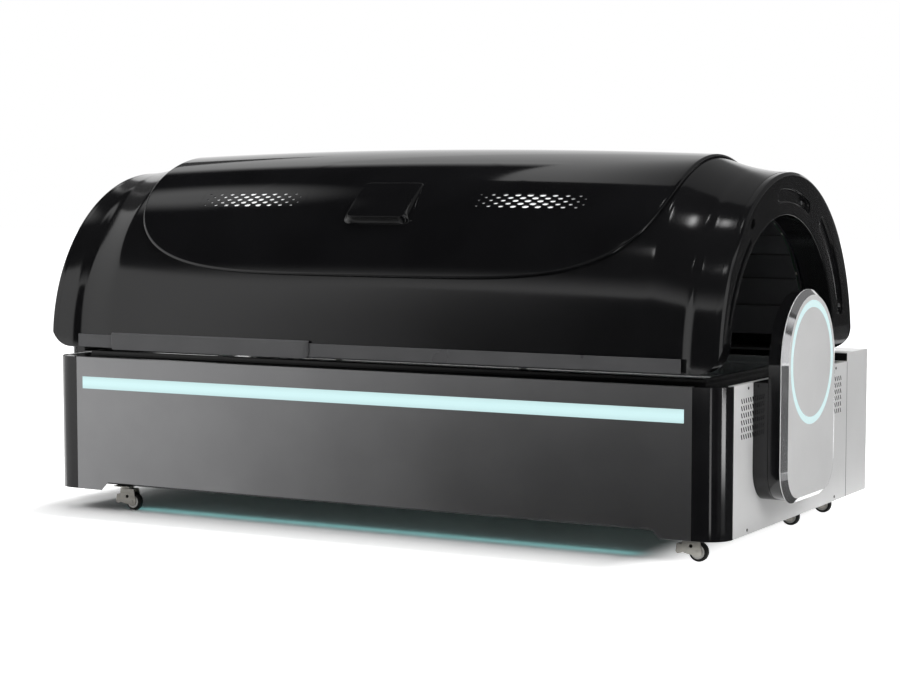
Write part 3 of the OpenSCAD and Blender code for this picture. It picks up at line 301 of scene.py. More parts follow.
class Palette:
    """Builds each finish's material once and hands it out."""

    octaves = (4.0, 2.0)
    drift_stops = (0.35, 0.68)
    cloud_range = (0.3, 0.7)
    brushing = (0.12, 1.0, 1.0)
    bump_depth = 0.0004
    acrylic_ior = 1.49
    unlit_share = 0.12
    glow_width = (0.004, 0.0185)
    glow_levels = (1.0, 0.86)
    diodes_per_metre = 34.0
    diode_radius = 0.22
    diode_colour = (0.62, 0.60, 0.52, 1.0)

    def __init__(self) -> None:
        """Starts with no materials."""
        self._made: dict[str, bpy.types.Material] = {}

    def dress(self, piece: Piece, finish: Finish) -> None:
        """Gives a piece one finish all over.

        Args:
            piece: The piece.
            finish: The finish that it takes.
        """
        piece.data.materials.clear()
        piece.data.materials.append(self.material(finish))

    def material(self, finish: Finish) -> bpy.types.Material:
        """Finds or makes the material of a finish.

        Args:
            finish: The finish to look up.

        Returns:
            The procedural material.
        """
        if finish.name not in self._made:
            self._made[finish.name] = self._build(finish)
        return self._made[finish.name]

    def _build(self, finish: Finish) -> bpy.types.Material:
        """Wires up the nodes of one finish.

        Args:
            finish: The finish to build.

        Returns:
            The new material.
        """
        material = bpy.data.materials.new(finish.name)
        material.diffuse_color = (*finish.colour, 1.0)
        wiring = Wiring(material)
        place = wiring.place()
        if finish.grain is Grain.BRUSHED:
            place = wiring.add("Mapping", {"Vector": place, "Scale": self.brushing})
        cloud, fine = (wiring.add("TexNoise", {"Vector": place, "Scale": scale, "Detail": detail})
                       for scale, detail in zip((finish.scale, finish.relief_scale), self.octaves))
        half = finish.spread / 2
        low, high = max(0.0, finish.roughness - half), finish.roughness + half
        bump = {"Height": fine, "Strength": finish.relief, "Distance": self.bump_depth}
        wiring.fill(wiring.shader, {
            "Base Color": self._colour(wiring, place, cloud, finish),
            "Roughness": wiring.reach(cloud, self.cloud_range, (low, high)),
            "Normal": wiring.add("Bump", bump),
            "Metallic": finish.metallic,
            "Specular IOR Level": finish.specular})
        if finish.clear:
            wiring.fill(wiring.shader, {"Transmission Weight": finish.clear,
                                        "IOR": self.acrylic_ior})
        # painted light: a finish that is no lamp glows here by emission
        if finish.painted_glow:
            wiring.fill(wiring.shader, {"Emission Color": (*finish.colour, 1.0),
                                        "Emission Strength": finish.painted_glow})
        if finish.grain is Grain.GLOWING:
            wiring.fill(wiring.shader, {"Emission Color": (*finish.colour, 1.0),
                                        "Emission Strength": self._glow(wiring, place, finish)})
        return material

    def _colour(self, wiring: Wiring, place: Socket, cloud: Socket, finish: Finish) -> Socket:
        """Drifts between the finish's two colours and prints the diodes of a board.

        Args:
            wiring: The material's wiring.
            place: The coordinates.
            cloud: The slow noise.
            finish: The finish.

        Returns:
            The base colour.
        """
        share = self.unlit_share if finish.grain is Grain.GLOWING else 1.0
        tones = [tuple(c * share for c in tone) for tone in (finish.colour, finish.drift)]
        colour = wiring.drift(cloud, tones, self.drift_stops)
        if finish.grain is not Grain.DIODES:
            return colour
        cell = wiring.add("TexVoronoi", {"Vector": place, "Scale": self.diodes_per_metre,
                                         "Randomness": 0.0}, "Distance")
        spot = wiring.add("Math", {0: cell, 1: self.diode_radius}, operation="LESS_THAN")
        return wiring.add("Mix", {0: spot, 6: colour, 7: self.diode_colour}, 2, data_type="RGBA")

    def _glow(self, wiring: Wiring, place: Socket, finish: Finish) -> Socket:
        """Lets a diffuser shine a little less towards its edges.

        Args:
            wiring: The material's wiring.
            place: The object coordinates.
            finish: The finish.

        Returns:
            The strength.
        """
        shift = tuple(-c for c in finish.centre)
        _, y, z = wiring.split(wiring.add("Mapping", {"Vector": place, "Location": shift}))
        if finish.ring:
            flat = wiring.add("CombineXYZ", {"X": y, "Y": z})
            away = wiring.add("VectorMath", {0: flat}, "Value", operation="LENGTH")
            z = wiring.add("Math", {0: away, 1: finish.ring}, operation="SUBTRACT")
        edge = wiring.add("Math", {0: z}, operation="ABSOLUTE")
        return wiring.reach(edge, self.glow_width, self.glow_levels)


class Bench:
    """Modelling steps that every piece goes through."""

    merge_gap = 0.000004
    weld_gap = 0.000002
    flat_angle = math.radians(0.6)
    soft_angle = math.radians(40.0)
    shade_angle = math.radians(38.0)
    disc_corners = 48

    @staticmethod
    def clear() -> None:
        """Leaves edit mode and deselects everything."""
        if bpy.context.object and bpy.context.object.mode != "OBJECT":
            bpy.ops.object.mode_set(mode="OBJECT")
        bpy.ops.object.select_all(action="DESELECT")

    @classmethod
    def pick(cls, piece: Piece) -> None:
        """Selects one piece alone.

        Args:
            piece: The piece to work on.
        """
        cls.clear()
        piece.select_set(True)
        bpy.context.view_layer.objects.active = piece

    @classmethod
    @contextmanager
    def editing(cls, piece: Piece, mode: str = "VERT") -> Iterator[bmesh.types.BMesh]:
        """Opens a piece in edit mode with nothing selected.

        Args:
            piece: The piece to shape.
            mode: What is selected: VERT, EDGE or FACE.

        Yields:
            The piece's edit mesh.
        """
        cls.pick(piece)
        bpy.ops.object.mode_set(mode="EDIT")
        bpy.ops.mesh.select_mode(type=mode)
        bpy.ops.mesh.select_all(action="DESELECT")
        yield bmesh.from_edit_mesh(piece.data)
        bpy.ops.object.mode_set(mode="OBJECT")

    @classmethod
    def take(cls, name: str) -> Piece:
        """Names the primitive that was just added and puts its place in its mesh.

        Args:
            name: The piece's name.

        Returns:
            The piece.
        """
        piece = bpy.context.object
        piece.name = piece.data.name = name
        cls.pick(piece)
        bpy.ops.object.transform_apply(location=True, rotation=True, scale=True)
        return piece

    @classmethod
    def box(cls, name: str, low: Sequence[float], high: Sequence[float], edge: float,
            steps: int = 1) -> Piece:
        """Makes a box with rounded edges.

        Args:
            name: The piece's name.
            low: Its lowest corner.
            high: Its highest corner.
            edge: Radius of its edges.
            steps: Segments across each edge.

        Returns:
            The box.
        """
        cls.clear()
        size = [b - a for a, b in zip(low, high)]
        middle = [(a + b) / 2 for a, b in zip(low, high)]
        bpy.ops.mesh.primitive_cube_add(size=1.0, location=middle, scale=size)
        piece = cls.take(name)
        with cls.editing(piece, "EDGE"):
            bpy.ops.mesh.select_all(action="SELECT")
            bpy.ops.mesh.bevel(offset=edge, segments=steps, affect="EDGES")
        return piece

    @classmethod
    def disc(cls, name: str, centre: Sequence[float], radius: float, depth: float,
             edge: float = 0.0) -> Piece:
        """Makes a disc that faces along Y, with rounded rims.

        Args:
            name: The piece's name.
            centre: Its middle.
            radius: Its radius.
            depth: Its length along Y.
            edge: Radius of its rims.

        Returns:
            The disc.
        """
        cls.clear()
        bpy.ops.mesh.primitive_cylinder_add(vertices=cls.disc_corners, radius=radius, depth=depth,
                                            location=centre, rotation=(math.pi / 2, 0.0, 0.0))
        piece = cls.take(name)
        if edge:
            with cls.editing(piece, "FACE") as mesh:
                for face in mesh.faces:
                    face.select_set(abs(face.normal.y) > 0.9)
                bpy.ops.mesh.region_to_loop()
                bpy.ops.mesh.bevel(offset=edge, segments=2, affect="EDGES")
        return piece

    @classmethod
    def sweep(cls, name: str, sections: Sequence[Sequence[Point]], closed: bool = True) -> Piece:
        """Extrudes a ring of points through a row of sections.

        Args:
            name: The piece's name.
            sections: Rings of points, all of one length.
            closed: Whether the ends are closed.

        Returns:
            The swept piece.
        """
        cls.clear()
        count = len(sections[0])
        bpy.ops.mesh.primitive_circle_add(vertices=count, radius=1.0,
                                          fill_type="NGON" if closed else "NOTHING")
        piece = cls.take(name)
        with cls.editing(piece) as mesh:
            mesh.verts.ensure_lookup_table()
            for vert, point in zip(mesh.verts, sections[0]):
                vert.co = point
            bmesh.update_edit_mesh(piece.data)
            bpy.ops.mesh.select_all(action="SELECT")
            for before, after in zip(sections, sections[1:]):
                bpy.ops.mesh.extrude_region_move()
                mesh = bmesh.from_edit_mesh(piece.data)
                tree = KDTree(count)
                for k, point in enumerate(before):
                    tree.insert(point, k)
                tree.balance()
                for vert in mesh.verts:
                    if vert.select:
                        vert.co = after[tree.find(vert.co)[1]]
                bmesh.update_edit_mesh(piece.data)
            bpy.ops.mesh.select_all(action="SELECT")
            bpy.ops.mesh.normals_make_consistent(inside=False)
        return piece

    @classmethod
    def weld(cls, piece: Piece) -> Piece:
        """Merges the meeting ends of a ring-shaped piece and turns its faces outward.

        Args:
            piece: The piece.

        Returns:
            The piece.
        """
        with cls.editing(piece):
            bpy.ops.mesh.select_all(action="SELECT")
            bpy.ops.mesh.remove_doubles(threshold=cls.weld_gap)
            bpy.ops.mesh.normals_make_consistent(inside=False)
        return piece

    @classmethod
    def sheet(cls, name: str, columns: int, rows: int, at: Callable[[float, float], Point],
              wall: float = 0.0) -> Piece:
        """Lays a grid over a curved surface and gives it a wall inward.

        Args:
            name: The piece's name.
            columns: Steps along the first direction.
            rows: Steps along the second direction.
            at: Point of the surface for the two shares of the way, 0 to 1.
            wall: Thickness of the wall.

        Returns:
            The sheet.
        """
        cls.clear()
        bpy.ops.mesh.primitive_grid_add(x_subdivisions=columns, y_subdivisions=rows, size=1.0)
        piece = cls.take(name)
        with cls.editing(piece) as mesh:
            for vert in mesh.verts:
                vert.co = at(round((vert.co.x + 0.5) * columns) / columns,
                             round((vert.co.y + 0.5) * rows) / rows)
            bmesh.update_edit_mesh(piece.data)
        if wall:
            solid = piece.modifiers.new("wall", "SOLIDIFY")
            solid.thickness = wall
            solid.offset = -1.0
            solid.use_even_offset = True
            cls.apply(piece)
        return piece

    @classmethod
    def apply(cls, piece: Piece) -> None:
        """Applies all the modifiers of a piece.

        Args:
            piece: The piece.
        """
        cls.pick(piece)
        for modifier in list(piece.modifiers):
            bpy.ops.object.modifier_apply(modifier=modifier.name)

    @classmethod
    def cut(cls, piece: Piece, cutter: Piece) -> None:
        """Cuts one piece out of another and throws the cutter away.

        Args:
            piece: The piece that is cut.
            cutter: The solid that is taken away.
        """
        boolean = piece.modifiers.new("cut", "BOOLEAN")
        boolean.operation = "DIFFERENCE"
        boolean.solver = "EXACT"
        boolean.object = cutter
        cls.apply(piece)
        bpy.data.objects.remove(cutter)

    @classmethod
    def join(cls, name: str, pieces: Sequence[Piece]) -> Piece:
        """Joins pieces into one.

        Args:
            name: The new piece's name.
            pieces: The pieces to join.

        Returns:
            The joined piece.
        """
        cls.clear()
        for piece in pieces:
            piece.select_set(True)
        bpy.context.view_layer.objects.active = pieces[0]
        bpy.ops.object.join()
        pieces[0].name = pieces[0].data.name = name
        return pieces[0]

    @classmethod
    def soften(cls, node: Piece, edge: float) -> Piece:
        """Copies a CAD node, merges its facets and rounds its edges.

        Args:
            node: The CAD node.
            edge: Radius of the rounded edges.

        Returns:
            The copy.
        """
        piece = bpy.data.objects.new(node.name + "_formed", node.data.copy())
        bpy.context.scene.collection.objects.link(piece)
        with cls.editing(piece):
            bpy.ops.mesh.select_all(action="SELECT")
            bpy.ops.mesh.remove_doubles(threshold=cls.merge_gap)
            bpy.ops.mesh.dissolve_limited(angle_limit=cls.flat_angle)
            bpy.ops.mesh.vert_connect_concave()
            bpy.ops.mesh.normals_make_consistent(inside=False)
        if edge:
            bevel = piece.modifiers.new("edges", "BEVEL")
            bevel.width = edge
            bevel.segments = 2
            bevel.limit_method = "ANGLE"
            bevel.angle_limit = cls.soft_angle
            cls.apply(piece)
        return piece

    @classmethod
    def smooth(cls, piece: Piece) -> None:
        """Shades a piece smooth and keeps its flats flat.

        Args:
            piece: The piece.
        """
        cls.pick(piece)
        bpy.ops.object.shade_smooth_by_angle(angle=cls.shade_angle)
        weight = piece.modifiers.new("flats", "WEIGHTED_NORMAL")
        weight.keep_sharp = True
        cls.apply(piece)


class Assembly:
    """A group of pieces that share the frame and the palette."""

    def __init__(self, frame: dict, palette: Palette) -> None:
        """Keeps what the pieces need.

        Args:
            palette: Where the materials come from.
        """
        self.frame = frame
        self.palette = palette

    def fit(self, piece: Piece, nodes: Sequence[str], body: str, finish: Finish) -> None:
        """Shades and dresses a piece and puts it in the place of its CAD nodes.

        Args:
            piece: The finished piece.
            nodes: The CAD nodes that it stands for.
            body: The body that it rides on.
            finish: Its finish.
        """
        Bench.smooth(piece)
        self.palette.dress(piece, finish)
        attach(piece, body)
        if nodes:
            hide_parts(*nodes)
        log.info("%s: %d faces", piece.name, len(piece.data.polygons))

    def formed(self, node: str, body: str, finish: Finish, edge: float) -> Piece:
        """Puts a softened copy in the place of a CAD node.

        Args:
            node: The CAD node's name.
            body: The body that it rides on.
            finish: Its finish.
            edge: Radius of its edges.

        Returns:
            The copy.
        """
        piece = Bench.soften(self.frame["nodes"][node], edge)
        self.fit(piece, [node], body, finish)
        return piece

    def moving(self, node: str, finish: Finish, edge: float) -> None:
        """Puts a softened copy in the place of a CAD node that is a body of its own.

        Args:
            node: The name of the node and of its body.
            finish: Its finish.
            edge: Radius of its edges.
        """
        self.formed(node, node, finish, edge)

    def formed_all(self, body: str, nodes: Sequence[tuple[str, Finish, float]]) -> None:
        """Puts softened copies in the places of several CAD nodes of one body.

        Args:
            body: The body that they ride on.
            nodes: Name, finish and edge radius of each.
        """
        for node, finish, edge in nodes:
            self.formed(node, body, finish, edge)


class Sided(Assembly):
    """A group of pieces that stands once at each end of the bed."""

    def __init__(self, frame: dict, palette: Palette, side: int) -> None:
        """Keeps the side.

        Args:
            palette: Where the materials come from.
            side: -1 for the left end, 1 for the right one.
        """
        super().__init__(frame, palette)
        self.side = side
        self.end = "_right" if side > 0 else "_left"


@dataclass(frozen=True)
class CanopyForm:
    """The outside of the canopy as one surface of length and angle."""

    half: float = 1.095
    end_r: float = 0.518
    arch_y: float = FRONT + 0.503
    arch_z: float = 0.512
    crown_r: float = 0.577
    crown_drop: float = 0.018
    flare_in: float = 0.880
    flare_out: float = 1.095
    bottom: float = 0.505
    foot_r: float = 0.075
    ease: float = 0.0018
    hollow: float = 0.007
    hollow_x: tuple[float, float, float] = (0.865, 0.984, 1.010)

    def top_r(self, x: float) -> float:
        """Radius at the top for a length x."""
        rise = self.crown_r - self.crown_drop - self.end_r
        flare_k = rise / (self.flare_out - self.flare_in) ** 2
        crown = self.crown_r - self.crown_drop * (x / self.flare_in) ** 2
        flare = self.end_r + flare_k * max(0.0, self.flare_out - abs(x)) ** 2
        step = max(self.ease - abs(crown - flare), 0.0) / self.ease
        return min(crown, flare) - step * step * self.ease / 4

    def waist(self, x: float) -> float:
        """Depth of the soft hollow beside the end band at length x."""
        start, deepest, end = self.hollow_x
        if not start < abs(x) < end:
            return 0.0
        edge = start if abs(x) < deepest else end
        t = (abs(x) - edge) / (deepest - edge)
        return self.hollow * t * t * (3 - 2 * t)

    def skin_r(self, x: float, angle: float) -> float:
        """Radius at length x and an angle in degrees above the front horizontal."""
        up = math.sin(math.radians(angle)) ** 2
        return self.end_r + (self.top_r(x) - self.end_r) * up - self.waist(x) * (1 - up)

    def point(self, x: float, angle: float, off: float = 0.0) -> Point:
        """Point of the outside, moved out by off."""
        r = self.skin_r(x, angle) + off
        turn = math.radians(angle)
        return (x, self.arch_y - r * math.cos(turn), self.arch_z + r * math.sin(turn))

    def foot_z(self, x: float) -> float:
        """Height of the lower edge at length x, with the rounded end corners."""
        past = abs(x) - self.half + self.foot_r
        if past <= 0:
            return self.bottom
        return self.bottom + self.foot_r - math.sqrt(max(0.0, self.foot_r**2 - past**2))

    def foot_angle(self, x: float) -> float:
        """Angle of the lower edge at length x, in degrees."""
        return math.degrees(math.asin((self.foot_z(x) - self.arch_z) / self.end_r))


@dataclass(frozen=True)
class CanopySizes:
    """Sizes of the pieces that lie on the canopy."""

    shell_half: float = 1.0697
    shell_knee: float = 0.855
    shell_inner: float = 0.55
    wall: float = 0.005
    cover_wall: float = 0.0025
    cover_half: float = 0.878
    cover_angle: float = 65.0
    cover_power: float = 4.6
    cover_mean_r: float = 0.56
    cover_gap: float = 0.0012
    cover_rise: float = 0.010
    rim: float = 0.006
    grille_x: float = 0.462
    grille_angle: float = 51.5
    grille_half: float = 0.186
    grille_up: float = 0.030
    grille_wall: float = 0.003
    filter_top: float = 0.0062
    filter_pillow: float = 0.0003
    filter_wall: float = 0.0055
    grille_rows: int = 5
    grille_cols: int = 9
    hole_wide: float = 0.0112
    hole_high: float = 0.0056
    hole_fade: float = 0.72
    hole_fade_power: float = 1.5
    mean_r: float = 0.55
    pod_half: float = 0.094
    pod_angle: float = 50.7
    pod_up: float = 0.074
    pod_rise: Pair = (0.021, 0.003)
    pod_power: float = 16.0
    pod_edge: float = 0.001
    pod_wall: float = 0.002
    skirt_side: float = 0.85
    skirt_front: float = 0.28
    skirt_back: float = 0.5
    skirt_power: float = 1.7
    lip_gap: float = 0.0003
    lip_edge: float = 0.0018
    lip_half: float = 0.985
    lip_low: float = 0.507
    lip_high: float = 0.545
    lip_out: float = 0.005
    grip: Pair = (-0.856, -0.156)
    grip_low: float = 0.501
    grip_high: float = 0.553
    grip_out: float = 0.008


class Canopy(Assembly):
    """The moulded canopy with its cover, grilles, pod, lip and grip."""

    form = CanopyForm()
    size = CanopySizes()

    def build(self) -> None:
        """Builds all the pieces of the canopy's outside."""
        self.shell()
        self.cover()
        self.grilles()
        self.filters()
        self.pod()
        self.lip()
        self.grip()

    def shell(self) -> None:
        """Moulds the shell between the end arches."""
        form, size = self.form, self.size

        def length(share: float) -> float:
            """Length for a share, with more stations at the flares."""
            t = 2 * share - 1
            knee, inner = size.shell_knee / size.shell_half, size.shell_inner
            if abs(t) <= inner:
                return t / inner * knee * size.shell_half
            reach = knee + (1 - knee) * (abs(t) - inner) / (1 - inner)
            return math.copysign(reach, t) * size.shell_half

        def at(share: float, turn: float) -> Point:
            """Point of the shell for shares of length and turn."""
            x = length(share)
            start = form.foot_angle(x)
            return form.point(x, start + (180 - 2 * start) * turn)

        piece = Bench.sheet("canopy_shell_moulding", 120, 128, at, size.wall)
        self.fit(piece, ["canopy_shell"], "canopy", CANOPY_GLOSS)

    def cover(self) -> None:
        """Moulds the raised cover with its rounded rim and cuts the two grille windows."""
        size = self.size
        flat_steps, rim_steps = 56, 6
        rim = size.rim / min(size.cover_half, math.radians(size.cover_angle) * size.cover_mean_r)
        levels = [k / flat_steps * (1 - rim) for k in range(flat_steps)]
        levels += [1 - rim + rim * math.sin(t) for t in turns(math.pi / 2, rim_steps)]
        levels.append(1.0)
        last = len(levels) - 1

        def level(t: float) -> tuple[float, int]:
            """Signed distance from the middle, and its place in the list."""
            k = round((t - 0.5) * 2 * last)
            return math.copysign(levels[abs(k)], k), abs(k)

        def at(s: float, t: float) -> Point:
            """Point of the cover for shares along and across it."""
            (u, i), (v, j) = level(s), level(t)
            k, most, power = max(i, j), max(abs(u), abs(v)), size.cover_power
            if most:
                out = (abs(u / most) ** power + abs(v / most) ** power) ** (1 / power)
                u, v = u / out, v / out
            turn = math.pi / 2 * min(max(k - flat_steps, 0), rim_steps) / rim_steps
            top = size.cover_rise - size.rim * (1 - math.cos(turn))
            if k == last:
                top = size.cover_gap
            return self.form.point(size.cover_half * u, 90.0 + size.cover_angle * v,
                                   max(top, size.cover_gap))

        piece = Bench.sheet("canopy_cover_moulding", 2 * last, 2 * last, at, size.cover_wall)
        for side in (-1, 1):
            Bench.cut(piece, self.window(side))
        self.fit(piece, ["canopy_cover"], "canopy", COVER_GLOSS)

    def grille_span(self) -> float:
        """Half the angle that a grille covers, in degrees."""
        size = self.size
        return math.degrees(size.grille_up / self.form.skin_r(size.grille_x, size.grille_angle))

    def on_grille(self, side: int, x: float, turn: float, rise: float) -> Point:
        """Point over a grille, x and turn from its middle."""
        return self.form.point(side * self.size.grille_x + x, self.size.grille_angle + turn, rise)

    def window(self, side: int) -> Piece:
        """Makes the block that cuts a grille's window.

        Args:
            side: -1 for the left grille, 1 for the right one.

        Returns:
            The block.
        """
        size, span = self.size, self.grille_span()
        return Bench.sweep("window", [[self.on_grille(side, u * size.grille_half, v * span, off)
                                       for u, v in ((-1, -1), (1, -1), (1, 1), (-1, 1))]
                                      for off in (-0.03, 0.03)])

    def grilles(self) -> None:
        """Makes the two perforated grilles that lie flush in the cover."""
        size, span = self.size, self.grille_span()
        plates = []
        for side in (-1, 1):
            def at(s: float, t: float, side: int = side) -> Point:
                """Point of a grille plate."""
                return self.on_grille(side, (2 * s - 1) * (size.grille_half - 0.0004),
                                      (2 * t - 1) * (span - 0.04), size.cover_rise)

            plate = Bench.sheet("grille", 24, 10, at, size.grille_wall)
            Bench.cut(plate, self.holes(side))
            plates.append(plate)
        piece = Bench.join("vent_grille_plates", plates)
        self.fit(piece, ["vent_grilles"], "canopy", GRILLE_GLOSS)

    def holes(self, side: int) -> Piece:
        """Makes the staggered lens-shaped cutters of one grille.

        Args:
            side: -1 for the left grille, 1 for the right one.

        Returns:
            All the cutters as one object.
        """
        size, span = self.size, self.grille_span()
        margin, corners = 0.004, 16
        pitch = 2 * (size.grille_half - margin) / (size.grille_cols + 0.5)
        rise = 2 * (span - 0.25) / size.grille_rows
        cutters = []
        for row in range(size.grille_rows):
            for col in range(size.grille_cols):
                x = (col + 0.5 + (row % 2) / 2) * pitch - size.grille_half + margin
                turn = (row - (size.grille_rows - 1) / 2) * rise
                fade = 1 - size.hole_fade * abs(x / size.grille_half) ** size.hole_fade_power
                wide = size.hole_wide * fade
                high = math.degrees(size.hole_high * fade / size.mean_r)
                cutters.append(Bench.sweep("hole", [
                    [self.on_grille(side, x + wide * math.cos(t), turn + high * math.sin(t), off)
                     for t in turns(math.tau, corners)[:-1]] for off in (-0.01, 0.03)]))
        return Bench.join("holes", cutters)

    def filters(self) -> None:
        """Lays the white filter fleeces under the grilles, in a finish that glows a little as
        painted light.
        """
        size, span = self.size, self.grille_span()
        pads = []
        for side in (-1, 1):
            def at(s: float, t: float, side: int = side) -> Point:
                """Point of a filter's top, pillowed a little in every hole."""
                sag = size.filter_pillow * (1 + math.cos(s * 120))
                return self.on_grille(side, (2 * s - 1) * (size.grille_half - 0.001),
                                      (2 * t - 1) * (span - 0.2), size.filter_top - sag)

            pads.append(Bench.sheet("filter", 60, 12, at, size.filter_wall))
        self.fit(Bench.join("filter_fleeces", pads), ["filter_pads"], "canopy", FILTER)

    def pod(self) -> None:
        """Moulds the low sensor pod: a flat lid whose skirt runs out into the cover."""
        size, form = self.size, self.form
        radius = form.skin_r(0.0, size.pod_angle) + size.cover_rise
        power, edge = size.pod_power, size.pod_edge
        lid, round_steps, skirt_steps = 12, 3, 7
        last = lid + round_steps + skirt_steps
        floor = size.cover_rise + 0.0003

        def at(s: float, t: float) -> Point:
            """Point of the pod for shares along and across it."""
            i, j = round((s - 0.5) * 2 * last), round((t - 0.5) * 2 * last)
            k = max(abs(i), abs(j))
            if not k:
                return form.point(0.0, size.pod_angle, size.cover_rise + sum(size.pod_rise) / 2)
            scale = 1 / (abs(i / k) ** power + abs(j / k) ** power) ** (1 / power)
            rim_u, rim_v = i / k * scale, j / k * scale
            u, v = rim_u * min(k, lid) / lid, rim_v * min(k, lid) / lid
            nx = math.copysign(abs(rim_u) ** (power - 1), i)
            nv = math.copysign(abs(rim_v) ** (power - 1), j)
            norm = math.hypot(nx, nv)
            nx, nv = nx / norm, nv / norm
            high, low = size.pod_rise
            rise = low + (high - low) * (1 - v) / 2
            turn = math.pi / 2 * min(max(k - lid, 0), round_steps) / round_steps
            out, drop = edge * math.sin(turn), edge * (1 - math.cos(turn))
            if k > lid + round_steps:
                share = (k - lid - round_steps) / skirt_steps
                across = size.skirt_front if nv < 0 else size.skirt_back
                out += rise * (size.skirt_side * abs(nx) + across * abs(nv)) * share
                drop += (rise - drop) * (1 - (1 - share) ** size.skirt_power)
            angle = size.pod_angle + math.degrees((size.pod_up * v + nv * out) / radius)
            return form.point(size.pod_half * u + nx * out, angle,
                              max(size.cover_rise + rise - drop, floor))

        piece = Bench.sheet("sensor_pod_moulding", 2 * last, 2 * last, at, size.pod_wall)
        self.fit(piece, ["sensor_pod"], "canopy", COVER_GLOSS)

    def lip(self) -> None:
        """Makes the band along the canopy's front lower edge."""
        size, form = self.size, self.form
        y = form.arch_y - form.end_r - size.lip_gap
        piece = Bench.box("lip_band_moulding", (-size.lip_half, y - size.lip_out, size.lip_low),
                          (size.lip_half, y, size.lip_high), size.lip_edge, 3)
        self.fit(piece, ["lip_band"], "canopy", LIP_GREY)

    def grip(self) -> None:
        """Makes the grip strip with its finger hollow."""
        size, form = self.size, self.form
        back = form.arch_y - form.end_r - size.lip_gap - size.lip_out
        front = back - size.grip_out
        low, high = size.grip_low, size.grip_high
        profile = [(front + 0.0015, low + 0.001), (front, low + 0.006),
                   (front + 0.0004, high - 0.012), (front + 0.002, high - 0.004),
                   (back - 0.001, high), (back, high - 0.001), (back, low + 0.012),
                   (back - 0.002, low + 0.010), (back - 0.0035, low + 0.002)]
        left, right = size.grip
        rings = []
        for x, shrink in ((left, 0.6), (left + 0.002, 0.9), (left + 0.006, 1.0),
                          (right - 0.02, 1.0), (right - 0.008, 0.93), (right - 0.002, 0.8),
                          (right, 0.6)):
            rings.append([(x, back + (y - back) * shrink,
                           high + (z - high) * (0.4 + 0.6 * shrink)) for y, z in profile])
        self.fit(Bench.sweep("grip_strip_moulding", rings), ["grip_strip"], "canopy", LIP_GREY)


@dataclass(frozen=True)
class ArchSizes:
    """Sizes of an end arch."""

    tunnel_r: float = 0.407
    tunnel_y: float = FRONT + 0.4545
    tunnel_z: float = 0.505
    face: float = 1.095
    back: float = 1.070
    collar: float = 1.016
    collar_wall: float = 0.003
    groove: float = 0.008
    pocket: float = 0.013
    screw_r: float = 0.0062
    screw_high: float = 0.0045
    screw_corners: int = 36
    turns: int = 160


